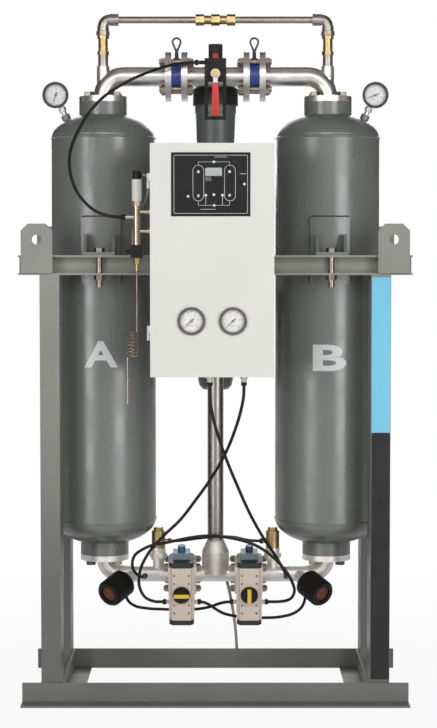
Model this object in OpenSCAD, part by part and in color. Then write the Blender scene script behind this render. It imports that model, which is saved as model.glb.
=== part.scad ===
// Twin-tower desiccant air dryer on a steel frame, in millimetres.
// +X is to the right seen from the front, -Y is the front, +Z is up and z = 0 is the floor.

/* [Vessels] */
// Outside diameter of each pressure vessel
vessel_d = 273; // [250:1:290]
// Wall of the shell and heads
shell_t = 6; // [4:0.5:8]
// Length of the straight shell between the two heads
vessel_len = 1005; // [960:1:1100]
// Height of each dished head
head_h = 68; // [60:1:76]
// Distance between the two vessel axes
vessel_spacing = 590; // [580:1:610]
// Height of the lower head seam above the floor
vessel_z = 450; // [445:1:500]
// Diameter of the neck on each head
neck_d = 127; // [120:1:136]
// Height of the neck above the crown of its head
neck_rise = 26; // [20:1:34]
// Bore through the necks, flanges and top pipes
pipe_bore = 44.8; // [38:0.1:46]
// Thickness of the bed screens
screen_t = 4; // [3:0.5:6]

/* [Frame] */
// Length of the cross beams
frame_w = 1000; // [900:1:1040]
// Length of the front and rear base angles
base_w = 990; // [970:1:1040]
// Height of the base angles
base_h = 54; // [45:1:70]
// Width of the base angles' toes on the floor
toe_w = 45; // [35:1:60]
// Thickness of the base angles
angle_t = 6; // [4:0.5:8]
// Height of the uprights
post_h = 1098; // [1060:1:1120]
// Width of the uprights seen from the front
post_w = 50; // [44:1:52]
// Depth of the uprights from front to rear
post_d = 100; // [80:1:100]
// Thickness of the uprights' web and flanges
post_t = 6; // [4:0.5:8]
// Distance from a vessel's axis to the outer side of its uprights
post_reach = 151; // [147:1:157]
// Height of the cross beams
beam_h = 50; // [46:1:60]
// Flange width of the cross beams
beam_flange = 38; // [36:1:46]
// Thickness of the cross beams
beam_t = 5; // [4:0.5:7]
// Space between a vessel and the back of a cross beam
saddle_gap = 35.5; // [30:0.5:45]
// Width of a lifting lug
lug_w = 80; // [70:1:84]
// Thickness of a lifting lug
lug_t = 10; // [8:0.5:14]
// Height of a lifting lug above its cross beam
lug_rise = 80; // [70:1:95]
// Diameter of a lug's hole
lug_hole_d = 25; // [20:0.5:30]

/* [Saddle brackets] */
// Width of a bracket between the outer sides of its gussets
bracket_w = 80; // [70:1:84]
// Height of the gussets above the cross beam
bracket_h = 46; // [36:1:70]
// Height of a bracket's pad above the cross beam
pad_rise = 98; // [80:1:110]
// Plate thickness of the brackets
bracket_t = 8; // [6:0.5:10]
// Diameter of the bracket and neck bolts
bolt_d = 16; // [14:0.5:18]

/* [Pipework] */
// Outside diameter of the top pipes
pipe_d = 50.8; // [48:0.1:54]
// Outside diameter of the lower pipes and the inlet riser
lower_d = 42.4; // [40:0.1:46]
// Bore of the lower pipes and the inlet riser
lower_bore = 36; // [32:0.5:37]
// Thickness of the flanges on the vessel necks
flange_t = 15; // [12:0.5:18]
// Bend radius of the top bends
bend_r = 53; // [48:1:60]
// Bend radius of the lower bends
lower_bend_r = 40; // [36:1:46]
// Distance between the middles of the two check valves
check_spacing = 204; // [196:1:220]
// Outside diameter of the check valve flanges
wafer_flange_d = 130; // [126:1:136]
// Thickness of the check valve flanges
wafer_flange_t = 16; // [12:0.5:17]
// Thickness of a check valve body
check_t = 26; // [26:0.5:32]
// Opening travel of a check valve disc
check_travel = 8; // [4:0.5:8]
// Height of the purge line above the top pipe
purge_rise = 148; // [140:1:170]
// Diameter of the purge line's cross tube
purge_tube_d = 18; // [14:0.5:20]

/* [Inlet valves] */
// Distance between the two inlet valves
valve_spacing = 176; // [170:1:190]
// Thickness of an inlet valve body between its flanges
valve_t = 50; // [48:0.5:54]
// Diameter of the ball in each inlet valve
ball_d = 52; // [50:0.5:54]
// Diameter of the valve stems
stem_d = 16; // [12:0.5:18]
// Lean of the valve stems and actuators below level, in degrees
valve_tilt = 12; // [0:1:13]
// Length of an actuator body without its end caps
actuator_len = 144; // [130:1:148]
// Width of an actuator
actuator_w = 66; // [60:1:70]
// Depth of an actuator
actuator_d = 80; // [70:1:86]
// Thickness of an actuator's end caps
cap_t = 14; // [12:1:16]
// Diameter of the turning indicators
indicator_d = 44; // [36:1:50]

/* [Filters] */
// Diameter of the filter heads
filter_head_d = 122; // [112:1:126]
// Bowl length of the after-filter
after_bowl_len = 235; // [200:1:260]
// Bowl length of the pre-filter
pre_bowl_len = 163; // [150:1:180]
// Height of the pre-filter's ports above the floor
pre_port_z = 1015; // [1000:1:1020]
// Diameter of the threaded ports at the rear of the filters
port_d = 41; // [36:0.5:42]
// Depth of those ports
port_len = 25; // [20:1:30]
// Diameter of the filter elements
element_d = 60; // [50:1:70]

/* [Gauges] */
// Diameter of a gauge's bezel
bezel_d = 69; // [66:0.5:72]
// Diameter of a gauge's case
gauge_d = 62; // [60:0.5:63]
// Depth of a gauge from bezel to back
gauge_depth = 28; // [25:0.5:32]
// Distance of a vessel gauge's boss from the vessel axis
gauge_off = 95; // [85:1:97]

/* [Cabinet] */
// Width of the cabinet
cab_w = 305; // [295:1:312]
// Height of the cabinet
cab_h = 574; // [560:1:600]
// Depth of the cabinet's box
cab_d = 138; // [125:1:160]
// Height of the cabinet's underside above the floor
cab_z = 848; // [840:1:852]
// Distance of the cabinet's middle from the frame's middle
cab_x = -7.5; // [-10:0.5:10]
// Sheet thickness of the cabinet
sheet_t = 2; // [1.5:0.5:3]
// Depth of the door
door_d = 12; // [10:1:16]
// Width of the black mimic panel
mimic_w = 194; // [180:1:200]
// Height of the black mimic panel
mimic_h = 156; // [140:1:165]
// Distance between the two door gauges
door_gauge_spacing = 102; // [90:1:120]

/* [Hidden] */
$fn = 48;

// Small clearances: a running fit, a loose seat and a bolt in its hole
fit = 0.05;
seat = 0.3;
bolt_play = 1;
// Extra length of a cut past the face that it opens
cut = 1;

// Places that follow from the driving sizes
vr = vessel_d / 2;
vx = vessel_spacing / 2;
shell_r = vr - shell_t;
top_seam = vessel_z + vessel_len;
neck_top = top_seam + head_h + neck_rise;
neck_bot = vessel_z - head_h - neck_rise;
header_z = neck_top + flange_t + bend_r;
lower_z = neck_bot - flange_t - lower_bend_r;
purge_z = header_z + purge_rise;
beam_back = vr + saddle_gap;
beam_toe = beam_back + beam_flange;
beam_top = post_h + beam_h;
beam_bolt_y = beam_toe - beam_flange / 2 + 1;
post_out = vx + post_reach;
post_in = post_out - post_w;
base_face = beam_toe + angle_t;
base_reach = base_face + toe_w;
lug_x = frame_w / 2 - 8 - lug_w / 2;
check_x = check_spacing / 2;
valve_x = valve_spacing / 2;

// The cabinet hangs on the front cross beam, and its door and gauges reach furthest forward
door_gap = 1;
cab_front = beam_toe + cab_d;
door_back = cab_front + door_gap;
door_front = door_back + door_d;
bezel_t = 6;
front_reach = door_front + bezel_t;
// Vessel plane's place, which centres the whole part on the origin
axis_y = (front_reach - base_reach) / 2;

// Bolt circles
neck_pcd = neck_d - bolt_d - 13;
wafer_bolt_d = 14;
wafer_pcd = wafer_flange_d - 30;
valve_bolt_d = 12;
valve_flange_t = 12;
valve_flange_d = ball_d + 58;
valve_pcd = valve_flange_d - 25;

// Moves a piece from the vessels' plane to its place in the part
module placed() translate([0, axis_y, 0]) children();
module on_cabinet() placed() translate([cab_x, 0, 0]) children();
// Repeats a piece on the left and the right, and at the front and the rear
module both_sides() { children(); mirror([1, 0, 0]) children(); }
module front_and_rear() { children(); mirror([0, 1, 0]) children(); }
module hex(r, h) cylinder(r = r, h = h, $fn = 6);
module along_x(x0, x1, r) translate([x0, 0, 0]) rotate([0, 90, 0]) cylinder(r = r, h = x1 - x0);
module to_front(y0, y1, r) translate([0, -y0, 0]) rotate([90, 0, 0]) cylinder(r = r, h = y1 - y0);
module ring_of(count, pcd, start) {
  for (i = [0 : count - 1])
    rotate([0, 0, start + i * 360 / count]) translate([pcd / 2, 0, 0]) children();
}

// Steel frame
module base_frame() color("dimgray") placed() {
  front_and_rear() {
    translate([-base_w / 2, -base_face, 0]) cube([base_w, angle_t, base_h]);
    translate([-base_w / 2, -base_reach, 0]) cube([base_w, toe_w + angle_t / 2, angle_t]);
  }
  both_sides() {
    translate([post_in - angle_t, -beam_toe, 0]) cube([angle_t, 2 * beam_toe, base_h]);
    translate([post_in - angle_t - toe_w, -beam_toe, 0]) cube([toe_w + angle_t / 2, 2 * beam_toe, angle_t]);
  }
}

module uprights() color("dimgray") placed() both_sides() front_and_rear()
  translate([post_in, -beam_toe, 0]) linear_extrude(post_h) difference() {
    square([post_w, post_d]);
    translate([post_t, post_t]) square([post_w, post_d - 2 * post_t]);
  }

module cross_beams() color("dimgray") placed() front_and_rear() difference() {
  translate([-frame_w / 2, -beam_toe, post_h]) cube([frame_w, beam_flange, beam_h]);
  translate([-frame_w / 2 - cut, -beam_toe - cut, post_h + beam_t])
    cube([frame_w + 2 * cut, beam_flange - beam_t + cut, beam_h - 2 * beam_t]);
  both_sides() translate([vx, -beam_bolt_y, post_h - cut])
    cylinder(d = bolt_d + 2 * bolt_play, h = beam_h + 2 * cut);
}

lug_chamfer = 18;
lug_hole_z = beam_top + lug_rise / 2;
module lug_outline() {
  base = post_h + beam_t;
  top = beam_top + lug_rise;
  polygon([[-lug_w / 2, base], [lug_w / 2, base], [lug_w / 2, top - lug_chamfer],
    [lug_w / 2 - lug_chamfer, top], [-lug_w / 2 + lug_chamfer, top], [-lug_w / 2, top - lug_chamfer]]);
}
module lifting_lugs() color("gray") placed() both_sides() front_and_rear()
  translate([lug_x, -beam_toe, 0]) difference() {
    rotate([90, 0, 0]) linear_extrude(lug_t) lug_outline();
    translate([0, 0, lug_hole_z]) to_front(-cut, lug_t + cut, lug_hole_d / 2);
  }

// Pressure vessels
dome_steps = 14;
boss_r = 12;
boss_rise = 14;
gauge_tilt = 25;
gauge_seat_z = top_seam + head_h * sqrt(1 - pow(gauge_off / vr, 2));
bead_r = 3;
ledge_t = 8;
ledge_w = 12;
tap_depth = neck_rise - 2;
function dome(r, h, z) = [for (i = [0 : dome_steps])
  [r * cos(90 * i / dome_steps), z + h * sin(90 * i / dome_steps)]];
function flip(points) = [for (i = [len(points) - 1 : -1 : 0]) points[i]];
module capsule(r, h) rotate_extrude() polygon(concat(flip(dome(r, -h, vessel_z)), dome(r, h, top_seam)));
module vessel(side) translate([side * vx, 0, 0]) {
  difference() {
    union() {
      capsule(vr, head_h);
      translate([0, 0, neck_bot]) cylinder(d = neck_d, h = neck_rise + head_h);
      translate([0, 0, top_seam]) cylinder(d = neck_d, h = neck_rise + head_h);
      for (z = [vessel_z, top_seam]) translate([0, 0, z])
        rotate_extrude() translate([vr - bead_r / 3, 0]) circle(r = bead_r, $fn = 24);
      translate([side * gauge_off, 0, gauge_seat_z]) rotate([0, side * gauge_tilt, 0])
        translate([0, 0, -2 * boss_rise]) cylinder(r = boss_r, h = 3 * boss_rise);
    }
    capsule(shell_r, head_h - shell_t);
    translate([0, 0, neck_bot - cut]) cylinder(d = pipe_bore, h = neck_top - neck_bot + 2 * cut);
    for (z = [neck_top - tap_depth, neck_bot - cut]) translate([0, 0, z])
      ring_of(4, neck_pcd, 45) cylinder(d = bolt_d, h = tap_depth + cut);
  }
  translate([0, 0, vessel_z - ledge_t]) difference() {
    cylinder(r = shell_r + shell_t / 3, h = ledge_t);
    translate([0, 0, -cut]) cylinder(r = shell_r - ledge_w, h = ledge_t + 2 * cut);
  }
}
module vessel_left() color("slategray") placed() vessel(-1);
module vessel_right() color("slategray") placed() vessel(1);

module desiccant_beds() color("white") placed() both_sides()
  translate([vx, 0, vessel_z + screen_t]) cylinder(r = shell_r - seat, h = vessel_len - 2 * screen_t);

screen_hole_d = 12;
screen_pitch = 24;
module screen() difference() {
  cylinder(r = shell_r - seat, h = screen_t);
  for (ix = [-4 : 4], iy = [-4 : 4])
    if (norm([ix, iy]) * screen_pitch < shell_r - ledge_w - screen_hole_d)
      translate([ix * screen_pitch, iy * screen_pitch, -cut])
        cylinder(d = screen_hole_d, h = screen_t + 2 * cut);
}
module bed_screens() color("silver") placed() both_sides()
  for (z = [vessel_z, top_seam - screen_t]) translate([vx, 0, z]) screen();

// Saddle brackets between the vessels and the cross beams
pad_t = 8;
pad_angle = 42;
pad_drop = 22;
pad_gap = 0.1;
pad_h = pad_drop + beam_h + pad_rise;
foot_in = vr + 1;
foot_out = beam_toe - 2;
module saddle_bracket() translate([vx, 0, 0]) {
  translate([0, 0, post_h - pad_drop]) rotate([0, 0, -90 - pad_angle / 2])
    rotate_extrude(angle = pad_angle) translate([vr + pad_gap, 0]) square([pad_t, pad_h]);
  difference() {
    translate([-bracket_w / 2, -foot_out, beam_top]) cube([bracket_w, foot_out - foot_in, bracket_t]);
    translate([0, -beam_bolt_y, beam_top - cut])
      cylinder(d = bolt_d + 2 * bolt_play, h = bracket_t + 2 * cut);
  }
  for (x = [-bracket_w / 2, bracket_w / 2 - bracket_t]) translate([x, 0, beam_top + bracket_t - 0.5])
    rotate([90, 0, 90]) linear_extrude(bracket_t)
      polygon([[-foot_out, 0], [-foot_in, 0], [-foot_in, bracket_h],
        [-vr - 4 * pad_t, bracket_h]]);
}
module saddle_brackets() color("dimgray") placed() both_sides() front_and_rear() saddle_bracket();

nut_h = 13;
bolt_tail = 31;
module frame_bolt() {
  translate([0, 0, post_h - bolt_tail]) cylinder(d = bolt_d, h = bolt_tail + beam_h + bracket_t);
  translate([0, 0, beam_top + bracket_t]) hex(bolt_d * 0.85, bolt_d * 0.65);
  translate([0, 0, post_h - nut_h]) hex(bolt_d * 0.85, nut_h);
}

// Top line
purge_boss_r = 17;
purge_boss_top = header_z + pipe_d / 2 + 1;
purge_bore = 20;
module neck_flange() difference() {
  cylinder(d = neck_d, h = flange_t);
  translate([0, 0, -cut]) ring_of(4, neck_pcd, 45)
    cylinder(d = bolt_d + 2 * bolt_play, h = flange_t + 2 * cut);
}
// Quarter bend from straight up at the origin to level towards -X
module quarter(r, d) translate([-r, 0, 0]) rotate([90, 0, 0]) rotate_extrude(angle = 90) translate([r, 0])
  circle(d = d);
module wafer_flange(x0, d, t, pcd, hole_d) translate([x0, 0, 0]) rotate([0, 90, 0]) difference() {
  cylinder(d = d, h = t);
  translate([0, 0, -cut]) ring_of(4, pcd, 45) cylinder(d = hole_d, h = t + 2 * cut);
}
bend_end = check_x + check_t / 2;
module outlet_bend() difference() {
  union() {
    translate([vx, 0, neck_top]) neck_flange();
    translate([vx, 0, neck_top + flange_t]) quarter(bend_r, pipe_d);
    translate([0, 0, header_z]) along_x(bend_end + cut, vx - bend_r, pipe_d / 2);
    translate([0, 0, header_z]) wafer_flange(bend_end, wafer_flange_d, wafer_flange_t, wafer_pcd,
      wafer_bolt_d + 2 * bolt_play);
    translate([vx, 0, header_z - bend_r / 2]) cylinder(r = purge_boss_r,
      h = purge_boss_top - header_z + bend_r / 2);
  }
  translate([vx, 0, neck_top - cut]) cylinder(d = pipe_bore, h = flange_t + cut);
  translate([vx, 0, neck_top + flange_t]) quarter(bend_r, pipe_bore);
  translate([0, 0, header_z]) along_x(bend_end - cut, vx - bend_r, pipe_bore / 2);
  translate([vx, 0, header_z]) cylinder(d = purge_bore, h = purge_rise);
}
module outlet_bends() color("silver") placed() both_sides() outlet_bend();

tee_end = check_x - check_t / 2;
filter_reach = filter_head_d / 2 + 5;
riser_bend_r = 57;
filter_y = riser_bend_r + 2 + filter_reach;
port_pipe_d = lower_d;
sample_boss_r = 13;
sample_boss_y = pipe_d / 2 + 18;
module outlet_tee() color("silver") placed() translate([0, 0, header_z]) difference() {
  union() {
    along_x(-tee_end + cut, tee_end - cut, pipe_d / 2);
    both_sides() wafer_flange(tee_end - wafer_flange_t, wafer_flange_d, wafer_flange_t, wafer_pcd,
      wafer_bolt_d + 2 * bolt_play);
    to_front(-filter_y + filter_reach, 0, port_pipe_d / 2);
    to_front(0, sample_boss_y, sample_boss_r);
  }
  along_x(-tee_end - cut, tee_end + cut, pipe_bore / 2);
  to_front(-filter_y + filter_reach - cut, 0, lower_bore / 2);
  to_front(0, sample_boss_y + cut, sample_boss_r / 2);
}

// Wafer check valves: flow runs from each vessel towards the middle
check_r = wafer_pcd / 2 - wafer_bolt_d / 2 - 1;
check_seat_t = 7;
check_bore_r = pipe_bore / 2;
disc_r = check_bore_r - 2;
disc_t = 5;
guide_r = 4;
hub_t = check_t - check_seat_t - disc_t - check_travel - 2 * seat;
eye_boss_r = 9;
eye_seat = check_r + 2;
module check_valve() {
  difference() {
    union() {
      cylinder(r = check_r, h = check_t);
      translate([0, 0, check_t / 2]) rotate([0, 90, 0]) cylinder(r = eye_boss_r, h = eye_seat);
    }
    translate([0, 0, check_seat_t]) cylinder(r = check_bore_r, h = check_t);
    translate([0, 0, -cut]) cylinder(r = check_bore_r - 6, h = check_t);
  }
  translate([0, 0, check_t - hub_t]) difference() {
    union() {
      cylinder(r = 2 * guide_r, h = hub_t);
      for (a = [0 : 120 : 240]) rotate([0, 0, a]) translate([0, -2, 0]) cube([check_bore_r + 1, 4, hub_t]);
    }
    translate([0, 0, -cut]) cylinder(r = guide_r + fit, h = hub_t + 2 * cut);
  }
}
// Turns a check valve's own axis from +Z to level, flowing towards -X
module check_place() translate([check_x + check_t / 2, 0, header_z]) rotate([0, -90, 0]) children();
module check_valves() color("royalblue") placed() both_sides() check_place() check_valve();
module check_disc() {
  translate([0, 0, check_seat_t + seat]) cylinder(r = disc_r, h = disc_t);
  translate([0, 0, check_seat_t + seat + disc_t])
    cylinder(r = guide_r, h = check_t - check_seat_t - disc_t - cut);
}
module check_disc_left() color("silver") placed() mirror([1, 0, 0]) check_place() check_disc();
module check_disc_right() color("silver") placed() check_place() check_disc();

eye_r = 13;
eye_wire = 5;
eye_t = 6;
eye_mid = 46;
eye_low = 22;
module drop(r_top, r_low, low) hull() {
  translate([0, eye_mid]) circle(r = r_top);
  translate([0, low]) circle(r = r_low);
}
module lifting_eye() {
  cylinder(r = eye_boss_r, h = 4);
  translate([0, 0, 4]) cylinder(r = 5, h = eye_low - 6);
  translate([0, eye_t / 2, 0]) rotate([90, 0, 0]) linear_extrude(eye_t) difference() {
    drop(eye_r, 4, eye_low);
    drop(eye_r - eye_wire, 1.5, eye_low + 8);
  }
}
module lifting_eyes() color("midnightblue") placed() both_sides()
  translate([check_x, 0, header_z + eye_seat]) lifting_eye();

// Bolts through the neck flanges and studs across the valves
module neck_bolt() {
  translate([0, 0, -tap_depth + 2]) cylinder(r = bolt_d / 2 - fit, h = tap_depth - 2 + flange_t);
  translate([0, 0, flange_t]) hex(bolt_d * 0.82, bolt_d * 0.65);
}
module stud(d, span, tail) {
  translate([0, 0, -tail]) cylinder(d = d, h = span + 2 * tail);
  for (z = [-d * 0.8, span]) translate([0, 0, z]) hex(d * 0.82, d * 0.8);
}
module bolts() color("goldenrod") placed() both_sides() {
  front_and_rear() translate([vx, -beam_bolt_y, 0]) frame_bolt();
  translate([vx, 0, neck_top]) ring_of(4, neck_pcd, 45) neck_bolt();
  translate([vx, 0, neck_bot]) mirror([0, 0, 1]) ring_of(4, neck_pcd, 45) neck_bolt();
  translate([tee_end - wafer_flange_t, 0, header_z]) rotate([0, 90, 0])
    ring_of(4, wafer_pcd, 45) stud(wafer_bolt_d, check_t + 2 * wafer_flange_t, 16);
  translate([valve_x - valve_t / 2 - valve_flange_t, 0, lower_z]) rotate([valve_tilt, 0, 0])
    rotate([0, 90, 0]) ring_of(4, valve_pcd, 45) stud(valve_bolt_d, valve_t + 2 * valve_flange_t, 13);
}

// Sample valve on the front of the centre tee
guard_w = 56;
guard_t = 8;
guard_up = 42;
guard_down = 117;
sample_body_r = 19;
sample_body_y = sample_boss_y + 14;
guard_face = sample_body_y + guard_t;
sample_stem_r = 6;
sample_port_x = 44;
sample_port_up = 31;
lever_face = guard_face + 22;
lever_t = 6;
lever_len = 110;
lever_w = 20;
nut_t = 8;
module sample_valve_body() color("black") placed() translate([0, 0, header_z]) difference() {
  union() {
    to_front(sample_boss_y, sample_body_y + cut, sample_body_r);
    difference() {
      translate([-guard_w / 2, -guard_face, -guard_down]) cube([guard_w, guard_t, guard_down + guard_up]);
      translate([-guard_w / 2 + 9, -guard_face - cut, -guard_down + 9])
        cube([guard_w - 18, guard_t + 2 * cut, guard_down - 9 - sample_body_r]);
    }
    translate([0, -guard_face + guard_t / 2, sample_port_up]) along_x(-sample_port_x, 0, guard_t / 2 + 1);
  }
  to_front(sample_boss_y + 6, guard_face + cut, sample_stem_r + fit);
}
module sample_valve_stem() color("gold") placed() translate([0, 0, header_z]) {
  to_front(sample_boss_y + 6 + seat, lever_face + lever_t + seat + nut_t, sample_stem_r);
  translate([0, -guard_face - seat, 0]) rotate([90, 0, 0]) hex(13, 14);
  translate([0, -lever_face - lever_t - seat, 0]) rotate([90, 0, 0]) hex(10, nut_t - 1);
}
module sample_valve_lever() color("red") placed() translate([0, -lever_face, header_z]) rotate([90, 0, 0])
  linear_extrude(lever_t) difference() {
    union() {
      circle(r = lever_w * 0.6);
      translate([-lever_w * 0.3, -lever_len / 2]) square([lever_w * 0.6, lever_len / 2]);
      hull() {
        translate([0, -lever_len / 3]) circle(r = lever_w * 0.4);
        translate([0, -lever_len + lever_w / 2]) circle(r = lever_w / 2);
      }
    }
    circle(r = sample_stem_r + fit);
  }

// Purge line
riser_r = 13.4;
riser_len = 30;
union_len = 50;
elbow_r = 17;
elbow_body_r = 14;
elbow_collar_r = 15.5;
elbow_collar = 24;
elbow_start = purge_boss_top + riser_len + union_len;
orifice_half = 52;
module purge_risers() color("gainsboro") placed() both_sides() translate([vx, 0, purge_boss_top])
  difference() {
  cylinder(r = riser_r, h = riser_len);
  translate([0, 0, -cut]) cylinder(d = purge_bore, h = riser_len + 2 * cut);
}
module purge_unions() color("gold") placed() {
  both_sides() translate([vx, 0, purge_boss_top + riser_len]) difference() {
    union() {
      hex(riser_r + 2, union_len * 0.2);
      cylinder(r = riser_r - 0.6, h = union_len);
      translate([0, 0, union_len * 0.84]) hex(riser_r + 2, union_len * 0.16);
    }
    translate([0, 0, -cut]) cylinder(d = purge_bore, h = union_len + 2 * cut);
  }
  translate([0, 0, purge_z]) {
    along_x(-orifice_half, orifice_half, purge_tube_d / 2 + 2.5);
    for (x = [-orifice_half, -11, orifice_half - 22]) translate([x, 0, 0]) rotate([0, 90, 0])
      hex(purge_tube_d / 2 + 6, 22);
  }
}
module purge_elbow() {
  translate([vx, 0, elbow_start]) cylinder(r = elbow_collar_r, h = purge_z - elbow_r - elbow_start);
  translate([vx, 0, purge_z - elbow_r]) quarter(elbow_r, 2 * elbow_body_r);
  translate([0, 0, purge_z]) {
    along_x(vx - elbow_r - elbow_collar, vx - elbow_r, elbow_collar_r);
    along_x(orifice_half, vx - elbow_r - elbow_collar, purge_tube_d / 2);
  }
}
module purge_elbows() color("silver") placed() both_sides() purge_elbow();

// Pressure gauges, drawn with the dial towards +Z and up along +Y
lens_t = 2.5;
lens_drop = 1;
dial_drop = 12;
lens_r = gauge_d / 2 - 2;
pointer_pin_r = 1;
pointer_drop = 8;
pointer_t = 1;
pointer_len = 20;
zero_angle = 225;
module gauge_case() {
  difference() {
    union() {
      translate([0, 0, -bezel_t]) cylinder(d = bezel_d, h = bezel_t);
      translate([0, 0, -gauge_depth]) cylinder(d = gauge_d, h = gauge_depth);
    }
    translate([0, 0, -lens_drop - lens_t]) cylinder(r = lens_r, h = 2 * lens_t);
    translate([0, 0, -dial_drop]) cylinder(r = lens_r - 2, h = dial_drop + cut);
  }
  translate([0, 0, -dial_drop - cut]) cylinder(r = pointer_pin_r,
    h = dial_drop - pointer_drop + pointer_t + 2 * cut);
}
module gauge_lens() translate([0, 0, -lens_drop - lens_t]) cylinder(r = lens_r - fit, h = lens_t);
module gauge_pointer() translate([0, 0, -pointer_drop]) difference() {
  linear_extrude(pointer_t) {
    circle(r = 3.2);
    rotate(zero_angle) polygon([[-9, -1.6], [-9, 1.6], [pointer_len - 5, 0.9], [pointer_len, 0],
      [pointer_len - 5, -0.9]]);
  }
  translate([0, 0, -cut]) cylinder(r = pointer_pin_r + fit, h = pointer_t + 2 * cut);
}
gauge_stem = 26;
module vessel_gauge_place(side) translate([side * (vx + gauge_off), 0, gauge_seat_z])
  rotate([0, side * gauge_tilt, 0])
  translate([0, -gauge_depth / 2, boss_rise + gauge_stem + gauge_d / 2]) rotate([90, 0, 0]) children();
module vessel_gauges() color("dimgray") placed() for (side = [-1, 1]) vessel_gauge_place(side) {
  gauge_case();
  translate([0, 0, -gauge_depth / 2]) rotate([90, 0, 0]) difference() {
    union() {
      cylinder(r = 7, h = gauge_d / 2 + gauge_stem);
      translate([0, 0, gauge_d / 2 + 4]) hex(10, 12);
    }
    translate([0, 0, -cut]) cylinder(r = 15, h = gauge_d / 2 - 1);
  }
}
module vessel_gauge_lenses() color("aliceblue", 0.4) placed() for (side = [-1, 1]) vessel_gauge_place(side)
  gauge_lens();
module vessel_pointer_left() color("black") placed() vessel_gauge_place(-1) gauge_pointer();
module vessel_pointer_right() color("black") placed() vessel_gauge_place(1) gauge_pointer();

// Filters behind the pipework: after-filter under the top line, pre-filter ahead of the inlet riser
head_drop = 66;
head_up = 26;
filter_wall = 4;
bowl_r = filter_head_d / 2 - 5;
bowl_end_r = bowl_r - 9;
drain_r = 9;
drain_len = 16;
turret_r = 19;
turret_h = 72;
module filter_head(turret) difference() {
  union() {
    rotate_extrude() polygon([[0, -head_drop], [filter_head_d / 2, -head_drop],
      [filter_head_d / 2, -head_drop + 44],
      [filter_head_d / 2 - 6, -head_drop + 50], [filter_head_d / 2 - 12, head_up - 4],
      [filter_head_d / 2 - 18, head_up],
      [0, head_up]]);
    to_front(-filter_reach, filter_reach, port_d / 2 + 4.5);
    if (turret) {
      cylinder(r = 9, h = head_up + 12);
      translate([0, 0, head_up + 11]) linear_extrude(turret_h - 11) difference() {
        circle(r = turret_r);
        for (a = [0 : 15 : 345]) rotate(a) translate([turret_r, 0]) circle(r = 1.5, $fn = 16);
      }
    }
  }
  to_front(-filter_reach - cut, -filter_reach + port_len, port_d / 2);
}
module filter_bowl(len) {
  difference() {
    rotate_extrude() polygon([[0, 0], [bowl_r, 0], [bowl_r, -20], [bowl_r - 2, -22],
      [bowl_end_r, -len + 24],
      [bowl_end_r * 0.93, -len + 10], [bowl_end_r * 0.74, -len], [0, -len]]);
    rotate_extrude() polygon([[0, cut], [bowl_r - filter_wall, cut], [bowl_r - filter_wall - 2, -22],
      [bowl_end_r - filter_wall, -len + 26], [bowl_end_r * 0.7, -len + filter_wall],
      [0, -len + filter_wall]]);
  }
  translate([0, 0, -len - drain_len]) cylinder(r = drain_r, h = drain_len + filter_wall / 2);
}
module filter_places() {
  translate([0, filter_y, header_z]) children(0);
  translate([0, filter_y, pre_port_z]) children(1);
}
module filter_heads() color("black") placed() filter_places() { filter_head(true); filter_head(false); }
module filter_bowls() color("darkslategray") placed() translate([0, 0, -head_drop])
  filter_places() { filter_bowl(after_bowl_len); filter_bowl(pre_bowl_len); }
module element(len) difference() {
  translate([0, 0, -len + 45]) cylinder(d = element_d, h = len - 45);
  translate([0, 0, -len + 53]) cylinder(d = element_d - 24, h = len);
}
module filter_elements() color("lightyellow") placed() translate([0, 0, -head_drop])
  filter_places() { element(after_bowl_len); element(pre_bowl_len); }

// Control cabinet with its hinged door
lip_w = 15;
hinge_x = cab_w / 2 + 4.5;
hinge_r = 4;
hinge_pin_r = 2;
hinge_y = door_back - 0.5;
knuckle_h = 18;
hinge_zs = [cab_z + 90, cab_z + cab_h - 110];
outlet_xs = [-6, 79];
outlet_y = beam_toe + 90;
module cabinet_box() color("gainsboro") on_cabinet() {
  difference() {
    translate([-cab_w / 2, -cab_front, cab_z]) cube([cab_w, cab_d, cab_h]);
    translate([-cab_w / 2 + sheet_t, -cab_front + sheet_t, cab_z + sheet_t])
      cube([cab_w - 2 * sheet_t, cab_d - 2 * sheet_t, cab_h - 2 * sheet_t]);
    translate([-cab_w / 2 + lip_w, -cab_front - cut, cab_z + lip_w])
      cube([cab_w - 2 * lip_w, cab_d / 2, cab_h - 2 * lip_w]);
  }
  for (x = outlet_xs) translate([x, -outlet_y, cab_z - 16]) { cylinder(r = 7,
    h = 17); translate([0, 0, 8]) hex(10, 8.5); }
  for (z = hinge_zs) translate([-hinge_x, -hinge_y, z]) {
    cylinder(r = hinge_r, h = knuckle_h);
    translate([hinge_r - 2.5, 0, 0]) cube([hinge_x - cab_w / 2 - hinge_r + 2.5 + sheet_t / 2, 26,
      knuckle_h]);
    cylinder(r = hinge_pin_r, h = 2 * knuckle_h);
  }
}
gauge_z = cab_z + 138;
module door_gauge_place(side) translate([side * door_gauge_spacing / 2, -front_reach, gauge_z])
  rotate([90, 0, 0]) children();
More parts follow.
